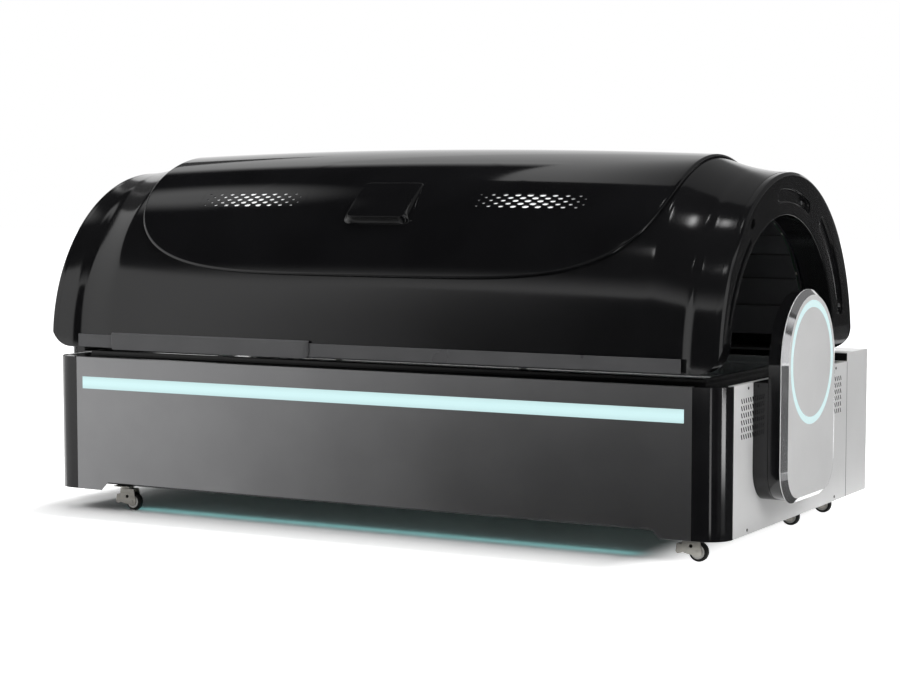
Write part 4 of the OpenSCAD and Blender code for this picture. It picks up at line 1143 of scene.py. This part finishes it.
class EndArch(Sided):
    """One end arch: a ring plate with recesses and a collar into the tunnel."""

    form = CanopyForm()
    size = ArchSizes()

    def build(self) -> None:
        """Builds the arch."""
        name = "end_arch" + self.end
        size = self.size
        sections = [[self.at(x, share, off, turn / size.turns) for x, share, off in self.profile()]
                    for turn in range(size.turns + 1)]
        piece = Bench.sweep(name + "_moulding", sections)
        groove, pocket = size.groove, size.pocket
        for recess in ((0.018, 0.034, 18.0, 52.0, groove), (0.036, 0.072, 84.0, 112.0, groove),
                       (0.046, 0.092, 128.0, 164.0, groove), (0.043, 0.065, 56.0, 57.8, pocket),
                       (0.040, 0.068, 105.5, 110.0, pocket)):
            Bench.cut(piece, self.recess(*recess))
        self.fit(piece, [name], "canopy", CANOPY_GLOSS)
        self.screws(name, ((0.054, 56.9, pocket), (0.054, 107.8, pocket), (0.069, 163.2, groove)))

    def screws(self, name: str, places: Sequence[tuple[float, float, float]]) -> None:
        """Seats the socket screws on the floors of the recesses.

        Args:
            name: The arch's name.
            places: Distance outside the tunnel's radius, angle and depth of each screw.
        """
        size = self.size
        heads = []
        for out, turn, depth in places:
            _, y, z = self.polar(0.0, size.tunnel_r + out, math.radians(turn))
            seat, top, r = size.face - depth, size.face - depth + size.screw_high, size.screw_r
            outside = ((seat - 0.0003, r), (top - 0.0012, r), (top - 0.0003, r - 0.0004),
                       (top, r - 0.0012))
            socket = ((seat + 0.0016, 0.0028), (seat + 0.008, 0.0029))
            head = Bench.sweep("head", [self.circle(x, y, z, q, size.screw_corners)
                                        for x, q in outside])
            Bench.cut(head, Bench.sweep("socket", [self.circle(x, y, z, q, 6) for x, q in socket]))
            heads.append(head)
        self.fit(Bench.join(name + "_screws", heads), [], "canopy", STEEL)

    def circle(self, x: float, y: float, z: float, radius: float, corners: int) -> list[Point]:
        """Gives points on a circle that faces along X."""
        return [(self.side * x, y + radius * math.cos(t), z + radius * math.sin(t))
                for t in turns(math.tau, corners)[:-1]]

    def polar(self, x: float, radius: float, angle: float) -> Point:
        """Gives the point at a radius and angle about the tunnel's axis."""
        return (self.side * x, self.size.tunnel_y - radius * math.cos(angle),
                self.size.tunnel_z + radius * math.sin(angle))

    def profile(self) -> list[tuple[float, float, float]]:
        """Gives the section of the arch.

        Returns:
            Points as distance from the middle, share from tunnel to outside, and radial offset.
        """
        size = self.size
        r = 0.004
        inner = [(size.collar + (size.face - r - size.collar) * k / 9, 0.0, 0.0) for k in range(10)]
        mouth = [(size.face - r + r * math.sin(t), 0.0, r * (1 - math.cos(t)))
                 for t in turns(math.pi / 2, 5)[1:]]
        face = [(size.face, k / 8, 0.006 * (1 - k / 8) - 0.010 * k / 8) for k in range(1, 9)]
        edge = [(size.face - 0.0004, 1.0, -0.0080), (size.face - 0.0012, 1.0, -0.0066),
                (size.face - 0.0068, 1.0, -0.0010), (size.face - 0.0078, 1.0, -0.0003),
                (size.face - 0.0092, 1.0, 0.0), (size.face - 0.016, 1.0, 0.0),
                (size.back, 1.0, 0.0)]
        rear = [(size.back, 0.6, 0.0), (size.back, 0.3, 0.0), (size.back, 0.0, size.collar_wall)]
        outside = [(size.back - (size.back - size.collar) * k / 5, 0.0, size.collar_wall)
                   for k in range(1, 6)]
        return inner + mouth + face + edge + rear + outside

    def at(self, x: float, share: float, off: float, turn: float) -> Point:
        """Point of the arch.

        Args:
            x: Length.
            share: 0 on the tunnel's circle, 1 on the outside circle.
            off: Radial offset.
            turn: Share of the way round, 0 to 1.

        Returns:
            The point.
        """
        size, form = self.size, self.form
        radius = size.tunnel_r + (form.end_r - size.tunnel_r) * share + off
        y = size.tunnel_y + (form.arch_y - size.tunnel_y) * share
        z = size.tunnel_z + (form.arch_z - size.tunnel_z) * share
        start = math.asin((form.foot_z(x) + 0.0003 - z) / radius)
        angle = start + (math.pi - 2 * start) * turn
        return (self.side * x, y - radius * math.cos(angle), z + radius * math.sin(angle))

    def recess(self, low: float, high: float, start: float, end: float, deep: float) -> Piece:
        """Makes the cutter of one recess, with a rounded floor and a soft mouth.

        Args:
            low: Inner edge outside the tunnel's radius.
            high: Outer edge outside the tunnel's radius.
            start: First angle above the front horizontal.
            end: Last angle.
            deep: Depth of its floor.

        Returns:
            The cutter.
        """
        size = self.size
        middle = size.tunnel_r + (low + high) / 2
        end_steps, side_steps = 16, 24
        rings = []
        for depth, grow in ((deep, -0.0018), (deep - 0.0006, -0.0006), (deep - 0.0018, 0.0),
                            (0.0012, 0.0), (0.0004, 0.0004), (0.0, 0.0012), (-0.003, 0.0045)):
            x, width = size.face - depth, (high - low) / 2 + grow
            ring = []
            for first, last, sign in ((end, start, 1), (start, end, -1)):
                for t in turns(math.pi, end_steps, -math.pi / 2):
                    along, out = width * math.cos(t), -sign * width * math.sin(t)
                    ring.append(self.polar(x, middle + out,
                                           math.radians(first) + sign * along / middle))
                ring += [self.polar(x, middle - sign * width,
                                    math.radians(first + (last - first) * k / side_steps))
                         for k in range(1, side_steps)]
            rings.append(ring)
        return Bench.sweep("recess", rings)


class Tunnel(Assembly):
    """The liner strips, their light boards and the frame inside the canopy."""

    strips = 13
    strip_turn = 12.8
    strip_half = 0.9995
    fillet_half = 0.0025
    fillet_depth = (0.0012, 0.0004)

    def build(self) -> None:
        """Builds the inside of the canopy."""
        self.formed("tunnel_acrylic", "canopy", SMOKED_SHEET, 0.0006)
        self.seams()
        self.formed_all("canopy", (("canopy_light_boards", BOARD, 0.0),
                                   ("canopy_ribs", RIB_PAINT, 0.0006),
                                   ("canopy_sills", RIB_PAINT, 0.0006),
                                   ("hinge_arms", FRAME_PAINT, 0.001)))

    def seams(self) -> None:
        """Lays the black fillets in the joints between the liner's strips."""
        size, half = ArchSizes(), self.fillet_half
        low, high = (size.tunnel_r - depth for depth in self.fillet_depth)
        fillets = []
        for k in range(self.strips - 1):
            turn = math.radians(90 + (k - self.strips / 2 + 1) * self.strip_turn)
            rings = [[(x, size.tunnel_y - r * math.cos(turn) + t * math.sin(turn),
                       size.tunnel_z + r * math.sin(turn) + t * math.cos(turn))
                      for r, t in ((low, -half), (high, -half), (high, half), (low, half))]
                     for x in (-self.strip_half, self.strip_half)]
            fillets.append(Bench.sweep("fillet", rings))
        self.fit(Bench.join("tunnel_seams", fillets), [], "canopy", SHADE_AND_JOINT_BLACK)


@dataclass(frozen=True)
class PillarSizes:
    """Sizes of a side pillar, measured from the middle of the bed."""

    y: float = FRONT + 0.395
    z: float = 0.517
    radius: float = 0.190
    bottom: float = 0.150
    corner: float = 0.090
    body: Pair = (1.141, 1.177)
    plate: Pair = (1.177, 1.195)
    over: float = 0.007
    bevel: float = 0.015
    ring: Pair = (0.149, 0.168)
    ring_depth: float = 0.005


class Pillar(Sided):
    """A side pillar: block, body, silver plate and ring light."""

    size = PillarSizes()

    def build(self) -> None:
        """Builds the pillar."""
        self.formed("pillar_block" + self.end, "base", PILLAR_GLOSS, 0.001)
        self.body()
        self.plate()
        self.ring()

    def outline(self, x: float, inset: float) -> list[Point]:
        """Gives the pillar's outline at length x.

        Args:
            x: Length.
            inset: How far inside the nominal outline it runs.

        Returns:
            Points round the outline.
        """
        size = self.size
        top_steps, corner_steps = 72, 18
        r, corner = size.radius - inset, size.corner - inset
        low = size.bottom + inset
        points = [(r * math.cos(t), size.z + r * math.sin(t)) for t in turns(math.pi, top_steps)]
        for sign, start in ((-1, math.pi), (1, 1.5 * math.pi)):
            centre = sign * (r - corner)
            points += [(centre + corner * math.cos(t), low + corner + corner * math.sin(t))
                       for t in turns(math.pi / 2, corner_steps, start)]
        return [(self.side * x, size.y + y, z) for y, z in points]

    def body(self) -> None:
        """Makes the black body with its rounded front edge."""
        low, high = self.size.body
        edge, r = 0.0008, 0.004
        rings = [self.outline(low, edge), self.outline(low + edge, 0.0)]
        rings += [self.outline(high - r + r * math.sin(t), r * (1 - math.cos(t)))
                  for t in turns(math.pi / 2, 5)]
        piece = Bench.sweep("pillar_body_moulding" + self.end, rings)
        self.fit(piece, ["pillar_body" + self.end], "base", PILLAR_GLOSS)

    def plate(self) -> None:
        """Makes the silver plate with its groove, and the bright rim on its bevel."""
        size = self.size
        low, high = size.plate
        over, bevel, proud = size.over, size.bevel, 0.0003
        foot = high - bevel
        steps = ((low, 0.0006), (low + 0.0006, 0.0), (foot - 0.0008, 0.0), (foot - 0.0001, 0.0003),
                 (foot + 0.0007, 0.001), (high - 0.001, bevel - 0.0007), (high - 0.0003, bevel),
                 (high, bevel + 0.001))
        piece = Bench.sweep("pillar_plate_form" + self.end,
                            [self.outline(x, inset - over) for x, inset in steps])
        Bench.cut(piece, self.groove())
        self.fit(piece, ["pillar_plate" + self.end], "base", PLATE_SILVER)
        steps = ((foot, 0.0004 - proud), (foot + 0.0008, 0.0011 - proud),
                 (high - 0.0011 + proud, bevel - 0.0008), (high - 0.0004 + proud, bevel - 0.0001),
                 (high - 0.0004, bevel + 0.0002), (foot + 0.0006, 0.0016), (foot, 0.0014))
        rows = [list(row) for row in zip(*(self.outline(x, inset - over) for x, inset in steps))]
        rim = Bench.weld(Bench.sweep("pillar_plate_rim" + self.end, rows + rows[:1], closed=False))
        self.fit(rim, [], "base", RIM_SILVER)

    def hoop(self, name: str, sections: Sequence[Pair]) -> Piece:
        """Spins a small section about the pillar's middle.

        Args:
            name: The piece's name.
            sections: Points of the section as distance from the bed's middle and radius.

        Returns:
            The hoop.
        """
        size, steps = self.size, 128
        rows = [[(self.side * x, size.y + r * math.cos(t), size.z + r * math.sin(t))
                 for x, r in sections] for t in turns(math.tau, steps)]
        return Bench.weld(Bench.sweep(name, rows, closed=False))

    def groove(self) -> Piece:
        """Makes the cutter of the ring light's groove.

        Returns:
            The cutter.
        """
        low, high = self.size.ring
        face = self.size.plate[1]
        deep = face - self.size.ring_depth
        return self.hoop("groove", [(deep, low - 0.0003), (face - 0.0006, low - 0.0003),
                                    (face + 0.001, low - 0.0016), (face + 0.001, high + 0.0016),
                                    (face - 0.0006, high + 0.0003), (deep, high + 0.0003)])

    def ring(self) -> None:
        """Makes the pale diffuser ring."""
        low, high = self.size.ring
        face = self.size.plate[1]
        deep = face - self.size.ring_depth
        piece = self.hoop("ring_light_diffuser" + self.end,
                          [(deep, low), (face - 0.0012, low), (face - 0.0003, low + 0.0008),
                           (face, (low + high) / 2), (face - 0.0003, high - 0.0008),
                           (face - 0.0012, high), (deep, high)])
        self.fit(piece, ["ring_light" + self.end], "base", RING_GLOW)


@dataclass(frozen=True)
class CabinetSizes:
    """Sizes of the cabinet's skin."""

    half: float = 1.099
    low: float = 0.069
    top: float = 0.473
    corner_r: float = 0.068
    corner_wall: float = 0.003
    panel_half: float = 1.010
    strip_half: float = 0.987
    strip: Pair = (0.377, 0.413)
    screen_y: Pair = (0.105, 0.940)
    screen_z: Pair = (0.312, 0.445)
    screen_x: float = 0.706
    screen_half: float = 0.075
    rear_rise: float = 0.025
    back: float = 0.59265
    housing_y: float = 0.40665
    housing_top: float = 0.498


class Cabinet(Assembly):
    """The cabinet: front, corners, sides, rear housing, frame and castor plates."""

    size = CabinetSizes()

    def build(self) -> None:
        """Builds the cabinet's pieces."""
        self.formed("front_panel", "base", FRONT_GREY, 0.0005)
        self.strip()
        for side in (-1, 1):
            end = "_right" if side > 0 else "_left"
            self.corner(side, end)
            self.shade_slots(self.formed("side_panel" + end, "base", SILVER, 0.0004), Axis.X)
        self.formed("panel_screws", "base", DARK_STEEL, 0.0004)
        self.formed("rear_housing", "base", SILVER, 0.0006)
        self.shade_slots(self.formed("rear_cover", "base", SILVER, 0.0004), Axis.Y)
        self.screens()
        self.formed_all("base", (("power_inlet", DARK_PLASTIC, 0.0005),
                                 ("power_supplies", CASE_METAL, 0.001),
                                 ("base_frame", FRAME_PAINT, 0.0015),
                                 ("castor_plates", ZINC, 0.0006)))

    def shade_slots(self, sheet: Piece, axis: Axis) -> None:
        """Darkens the cut edges of a sheet's vent slots with painted shade.

        Args:
            sheet: The sheet.
            axis: The axis that the sheet faces.
        """
        low, high = self.size.screen_z
        # painted shade: the slots' cut edges take the black finish
        sheet.data.materials.append(self.palette.material(SHADE_AND_JOINT_BLACK))
        for face in sheet.data.polygons:
            within = low < face.center.z < high + self.size.rear_rise
            if within and abs(face.normal[axis.value]) < 0.9:
                face.material_index = 1

    def screens(self) -> None:
        """Hangs black sheets behind the slots as painted shade, the dark joints beside the rear
        housing, and a black strip of painted shade before the rear housing.
        """
        size = self.size
        low, high = size.screen_z
        rise, edge, gap = size.rear_rise, 0.0003, 0.0006
        pieces = []
        for side in (-1, 1):
            # painted shade: black sheets stand behind the side and rear slots
            near, far = sorted(side * (size.half - depth) for depth in (0.0025, 0.0035))
            pieces.append(Bench.box("side shade sheet", (near, FRONT + size.screen_y[0], low),
                                    (far, FRONT + size.screen_y[1], high), edge))
            middle = side * size.screen_x
            near, far = middle - size.screen_half, middle + size.screen_half
            pieces.append(Bench.box("rear shade sheet", (near, size.back - 0.0035, low + rise),
                                    (far, size.back - 0.0025, high + rise), edge))
            near, far = sorted(side * (size.half + off) for off in (-0.0004, 0.0003))
            pieces.append(Bench.box("side joint",
                                    (near, size.housing_y - 0.0018, size.low + 0.0005),
                                    (far, size.housing_y - 0.0002, size.top - 0.0005), 0.0001))
        self.fit(Bench.join("vent_shade_and_joints", pieces), [], "base", SHADE_AND_JOINT_BLACK)
        # painted shade: a black strip before the rear housing's upper step, where shade falls
        shade_strip = Bench.box("housing_shade_strip",
                         (-size.half + gap, size.housing_y - 0.0012, size.top + gap),
                         (size.half - gap, size.housing_y - 0.0002, size.housing_top - 0.0012),
                         edge)
        self.fit(shade_strip, [], "base", DECK_BLACK)

    def strip(self) -> None:
        """Makes the light strip with its hidden mounting lap."""
        size, lap = self.size, 0.008
        low, high = size.strip
        pieces = [Bench.box("lap", (-size.strip_half - lap, FRONT + 0.0023, low - lap),
                            (size.strip_half + lap, FRONT + 0.008, high + lap), 0.0005),
                  Bench.box("lens", (-size.strip_half, FRONT - 0.0005, low),
                            (size.strip_half, FRONT + 0.006, high), 0.0006, 3)]
        self.fit(Bench.join("strip_light_diffuser", pieces), ["strip_light"], "base", STRIP_GLOW)

    def corner(self, side: int, end: str) -> None:
        """Makes one rounded corner column.

        Args:
            side: -1 for the left column, 1 for the right one.
            end: The node's name ending.
        """
        size, steps = self.size, 24
        r, wall = size.corner_r, size.corner_wall

        def ring(z: float, inset: float) -> list[Point]:
            """Outline of the column at a height."""
            angles = turns(math.pi / 2, steps)
            out, back = r - inset, r - wall + inset
            outer = [(size.panel_half + inset, inset), (size.half - r, inset)]
            outer += [(size.half - r + out * math.sin(t), r - out * math.cos(t))
                      for t in angles[1:]]
            inner = [(size.half - wall + inset, r)]
            inner += [(size.half - r + back * math.sin(t), r - back * math.cos(t))
                      for t in angles[-2::-1]]
            inner.append((size.panel_half + inset, wall - inset))
            return [(side * x, FRONT + y, z) for x, y in outer + inner]

        edge, top = 0.0008, size.top
        rings = [ring(size.low, edge), ring(size.low + edge, 0.0), ring(top - 0.0014, 0.0),
                 ring(top - 0.0008, 0.0002), ring(top - 0.0002, 0.0007), ring(top, 0.0013)]
        piece = Bench.sweep("corner_column_form" + end, rings)
        self.fit(piece, ["corner_column" + end], "base", PILLAR_GLOSS)


class LyingSurface(Assembly):
    """The deck, the clear trough and the boards beneath it."""

    def build(self) -> None:
        """Builds the lying surface."""
        self.formed_all("base", (("deck", DECK_BLACK, 0.002), ("bed_acrylic", CLEAR_SHEET, 0.001),
                                 ("bed_light_boards", BOARD, 0.0)))


class Castors(Assembly):
    """Six swivel castors, two of them with a brake pedal."""

    cap_r = 0.0195
    cap_depth = 0.0024
    cap_sunk = 0.0008
    bore_r = 0.0056

    def build(self) -> None:
        """Builds the castors."""
        for k in range(1, 7):
            self.moving(f"castor_fork_{k}", ZINC, 0.0006)
            self.moving(f"castor_wheel_{k}", TREAD, 0.002)
            self.hub(k)
        for k in (1, 2):
            self.moving(f"brake_pedal_{k}", ZINC, 0.001)

    def hub(self, k: int) -> None:
        """Presses the pale hub caps into both sides of a wheel.

        Args:
            k: The wheel's number.
        """
        low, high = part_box(f"castor_wheel_{k}")
        x, y, z = ((a + b) / 2 for a, b in zip(low, high))
        half = (high[1] - low[1]) / 2
        caps = []
        for side in (-1, 1):
            cap = Bench.disc("cap", (x, y + side * (half - self.cap_sunk), z), self.cap_r,
                             self.cap_depth, 0.0006)
            Bench.cut(cap, Bench.disc("bore", (x, y + side * half, z), self.bore_r, 0.01))
            caps.append(cap)
        self.fit(Bench.join(f"castor_hub_{k}", caps), [], f"castor_wheel_{k}", HUB_GREY)


class HingeGear(Assembly):
    """The hinge brackets and pins and the two gas springs."""

    def build(self) -> None:
        """Builds the hinge gear."""
        self.formed_all("base", (("hinge_brackets", FRAME_PAINT, 0.0008),
                                 ("hinge_pins", STEEL, 0.0004)))
        for end in ("_left", "_right"):
            self.moving("spring_cylinder" + end, PILLAR_GLOSS, 0.0006)
            self.moving("spring_rod" + end, STEEL, 0.0004)


class Studio:
    """Camera, lamps, floor and world, and the cards that the black gloss mirrors."""

    lens = 86.2
    sensor = 36.0
    camera_place = (3.164, -5.72535, 1.003)
    camera_down = 4.463
    camera_turn = 29.094
    surround_levels = (0.42, 1.0)
    floor_size = 60.0
    floor_colour = (0.9, 0.9, 0.9, 1.0)
    # box round the bed; outside it the floor glows white as painted light
    shadow_middle = (0.18, 0.0, 0.0)
    shadow_half = (0.95, 0.66)
    shadow_round = 0.1
    shadow_fade = (1.0, 1.24)
    card_steps = 4
    overhead_z = 6.0
    floor_card_z = 0.008
    upper_card_z = 0.014
    fade_nowhere = (-90.0, -80.0)
    softbox_fade = (0.25, 1.0)

    def camera(self) -> None:
        """Puts the camera at the photograph's angle."""
        data = bpy.data.cameras.new("camera")
        data.lens = self.lens
        data.sensor_width = self.sensor
        camera = bpy.data.objects.new("camera", data)
        camera.location = self.camera_place
        camera.rotation_euler = (math.radians(90 - self.camera_down), 0.0,
                                 math.radians(self.camera_turn))
        bpy.context.scene.collection.objects.link(camera)
        bpy.context.scene.camera = camera

    def lamp(self, name: str, place: Point, aim: Point, size: Pair, power: float,
             colour: Colour = (1.0, 1.0, 1.0)) -> None:
        """Hangs a soft rectangular lamp that polished surfaces don't mirror.

        Args:
            name: The lamp's name.
            place: Where it hangs.
            aim: The point that it faces.
            size: Its width and height.
            power: Its power in watts.
            colour: Its colour.
        """
        data = bpy.data.lights.new(name, "AREA")
        data.shape = "RECTANGLE"
        data.size, data.size_y = size
        data.energy = power
        data.color = colour
        lamp = bpy.data.objects.new(name, data)
        lamp.location = place
        lamp.rotation_euler = (Vector(aim) - Vector(place)).to_track_quat("-Z", "Y").to_euler()
        lamp.visible_glossy = False
        bpy.context.scene.collection.objects.link(lamp)

    def world(self) -> None:
        """Sets a white surround that lights at a plain level."""
        world = bpy.data.worlds.new("surround")
        bpy.context.scene.world = world
        wiring = Wiring(world)
        level = wiring.reach(wiring.seen(), (0.0, 1.0), self.surround_levels)
        wiring.fill(wiring.shader, {"Color": WHITE, "Strength": level})

    def floor(self) -> None:
        """Lays the white floor, which keeps the bed's shadow and fades into the surround; away from
        the bed it glows white, a painted light set off to the right that washes the shadow out on
        that side.
        """
        Bench.clear()
        bpy.ops.mesh.primitive_grid_add(x_subdivisions=4, y_subdivisions=4, size=self.floor_size)
        piece = Bench.take("floor")
        material = bpy.data.materials.new("white floor")
        wiring = Wiring(material)
        seen = wiring.seen()
        # painted light: the floor emits white outside a box round the bed, and the box sits off to
        # the right, so the shadow there is washed out
        shrink = (*(1 / half for half in self.shadow_half), 0.0)
        inside = wiring.add("Mapping", {"Vector": wiring.place(), "Location": self.shadow_middle,
                                        "Scale": shrink})
        x, y, _ = wiring.split(wiring.add("VectorMath", {0: inside}, operation="ABSOLUTE"))
        away = wiring.add("Math", {0: x, 1: y, 2: self.shadow_round}, operation="SMOOTH_MAX")
        painted_floor_glow = wiring.reach(away, self.shadow_fade, (0.0, 1.0), "SMOOTHSTEP")
        wiring.fill(wiring.shader, {
            "Base Color": self.floor_colour, "Roughness": 0.5, "Specular IOR Level": 0.0,
            "Emission Color": WHITE,
            "Emission Strength": wiring.add("Math", {0: painted_floor_glow, 1: seen}, operation="MULTIPLY")})
        piece.data.materials.append(material)

    def flag(self, name: str, corners: Sequence[Point], across: Point = (1.0, 0.0, 0.0),
             fade: Pair = fade_nowhere, levels: Pair = (0.0, 1.0)) -> None:
        """Hangs a dark studio card with one soft bright edge.

        Args:
            name: The card's name.
            corners: Its four corners in order.
            across: Direction in which it grows bright.
            fade: Distances along that direction where the growth starts and ends.
            levels: Its brightness before and after.
        """
        def at(s: float, t: float) -> Point:
            """Point of the card for shares along and across it."""
            return tuple((1 - s) * ((1 - t) * a + t * d) + s * ((1 - t) * b + t * c)
                         for a, b, c, d in zip(*corners))

        piece = Bench.sheet(name, self.card_steps, self.card_steps, at)
        wiring = Wiring(bpy.data.materials.new(name))
        along = wiring.add("VectorMath", {0: wiring.place(), 1: across}, "Value",
                           operation="DOT_PRODUCT")
        self._hang(piece, wiring, wiring.reach(along, fade, levels, "SMOOTHSTEP"))

    @staticmethod
    def flat(x: Pair, y: Pair, z: float) -> list[Point]:
        """Gives the corners of a level rectangle."""
        return [(x[0], y[0], z), (x[1], y[0], z), (x[1], y[1], z), (x[0], y[1], z)]

    def softbox(self, name: str, place: Point, size: Pair, level: float) -> None:
        """Hangs a level softbox with a soft edge.

        Args:
            name: The softbox's name.
            place: Its middle.
            size: Its reach to each side in x and y.
            level: Its brightness in the middle.
        """
        (x, y, z), (wide, long) = place, size
        piece = Bench.sheet(name, self.card_steps, self.card_steps,
                            lambda s, t: (x + (2 * s - 1) * wide, y + (2 * t - 1) * long, z))
        wiring = Wiring(bpy.data.materials.new(name))
        inside = wiring.add("Mapping", {"Vector": wiring.place(),
                                        "Location": (-x / wide, -y / long, 0.0),
                                        "Scale": (1 / wide, 1 / long, 0.0)})
        away = wiring.add("VectorMath", {0: inside}, "Value", operation="LENGTH")
        self._hang(piece, wiring, wiring.reach(away, self.softbox_fade, (level, 0.0), "SMOOTHSTEP"))

    @staticmethod
    def _hang(piece: Piece, wiring: Wiring, level: Socket) -> None:
        """Dresses a card in black that shines, and shows it to mirror reflections alone.

        Args:
            piece: The card.
            wiring: Its material's wiring.
            level: Its brightness.
        """
        wiring.fill(wiring.shader, {"Base Color": BLACK, "Specular IOR Level": 0.0,
                                    "Emission Color": WHITE, "Emission Strength": level})
        piece.data.materials.append(wiring.owner)
        piece.visible_camera = piece.visible_diffuse = piece.visible_transmission = False
        piece.visible_shadow = piece.visible_volume_scatter = False

    def flags(self) -> None:
        """Hangs what the black gloss mirrors: overhead, front, right side and floor."""
        over, low, high = self.overhead_z, self.floor_card_z, self.upper_card_z
        back, near, far = 1.45, -0.61, 16.0
        self.flag("flag_overhead", self.flat((-7.0, 8.0), (-9.0, back), over),
                  (0.0, -1.0, 0.0), (5.8, 8.8))
        self.flag("flag_behind", ((-9.0, back, over), (-2.4, back, over), (-2.7, 4.6, over),
                                  (-9.0, 4.6, over)), (0.0, 1.0, 0.0), (3.4, 4.6))
        self.flag("flag_crown", self.flat((-5.0, 8.0), (back, 22.0), over + 0.05),
                  (-1.0, -0.15, 0.0), (0.75, 1.9), (0.2, 0.85))
        self.flag("flag_left", self.flat((-24.0, -7.0), (back, 9.0), over), levels=(0.1, 0.1))
        self.flag("flag_front", ((-8.0, -9.0, -0.1), (14.0, -9.0, -0.1), (14.0, -9.0, over),
                                 (-8.0, -9.0, over)), (-1.0, 0.0, 0.0), (3.4, 7.0))
        self.flag("flag_side", ((5.5, -1.1, -0.1), (5.5, far, -0.1), (5.5, far, 4.5),
                                (5.5, -1.1, 4.5)), (0.0, 0.0, 1.0), (3.0, 4.5), (0.05, 1.0))
        self.flag("flag_floor", self.flat((-7.0, 9.0), (near, -5.8), low + 0.002),
                  (-1.0, 0.6, 0.0), (-1.0, 1.3))
        self.flag("flag_yard", self.flat((1.3, 9.0), (near, far), low), levels=(0.05, 0.05))
        self.flag("flag_plate", self.flat((1.11, 1.3), (-0.42, 0.12), low), levels=(0.05, 0.05))
        self.flag("column_card", ((1.55, -0.625, high), (7.9, -1.86, high), (8.0, 0.56, high),
                                  (1.55, -0.45, high)), (1.0, 0.0, 0.0), (2.0, 3.6), (0.4, 9.0))
        self.flag("rim_card", ((1.49, -0.78, high), (7.1, -4.03, high), (7.9, -1.86, high),
                               (1.55, -0.625, high)), levels=(0.1, 0.1))
        self.flag("column_line", ((1.26, -0.99, high), (3.1, -5.1, high), (3.71, -4.77, high),
                                  (1.325, -0.954, high)), levels=(2.4, 2.4))

    def light(self) -> None:
        """Hangs the lamps that light the bed and the softboxes that its gloss mirrors."""
        self.lamp("key", (-2.6, -3.6, 3.8), (0.0, -0.2, 0.5), (2.6, 2.0), 110.0)
        self.lamp("fill", (4.2, -2.4, 2.6), (0.6, 0.0, 0.5), (1.8, 1.8), 86.0)
        self.lamp("top", (0.0, 0.2, 4.2), (0.0, 0.0, 0.0), (3.4, 2.4), 170.0)
        self.lamp("floor line", (-0.035, FRONT + 0.125, 0.03), (-0.035, FRONT + 0.125, 0.0),
                  (1.69, 0.02), 0.13, (0.35, 0.9, 0.9))
        for name, place, size, level in (
                ("left_softbox", (-4.5, 0.2, 5.9), (1.5, 1.3), 0.9),
                ("flare_softbox", (0.33, -0.84, 5.5), (0.11, 0.5), 12.0),
                ("low_softbox", (-1.2, -3.3, 5.5), (0.1, 0.4), 9.0),
                ("flange_softbox", (-0.4, -0.31, 5.5), (0.07, 0.36), 12.0)):
            self.softbox(name, place, size, level)

    def build(self) -> None:
        """Sets the whole scene up."""
        bpy.context.scene.view_settings.view_transform = "Standard"
        self.camera()
        self.world()
        self.floor()
        self.flags()
        self.light()


def main() -> None:
    """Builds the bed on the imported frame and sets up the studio."""
    logging.basicConfig(level=logging.INFO, format="%(message)s")
    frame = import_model()
    palette = Palette()
    Studio().build()
    Canopy(frame, palette).build()
    for side in (-1, 1):
        EndArch(frame, palette, side).build()
        Pillar(frame, palette, side).build()
    for group in (Tunnel, Cabinet, LyingSurface, Castors, HingeGear):
        group(frame, palette).build()


if __name__ == "__main__":
    main()
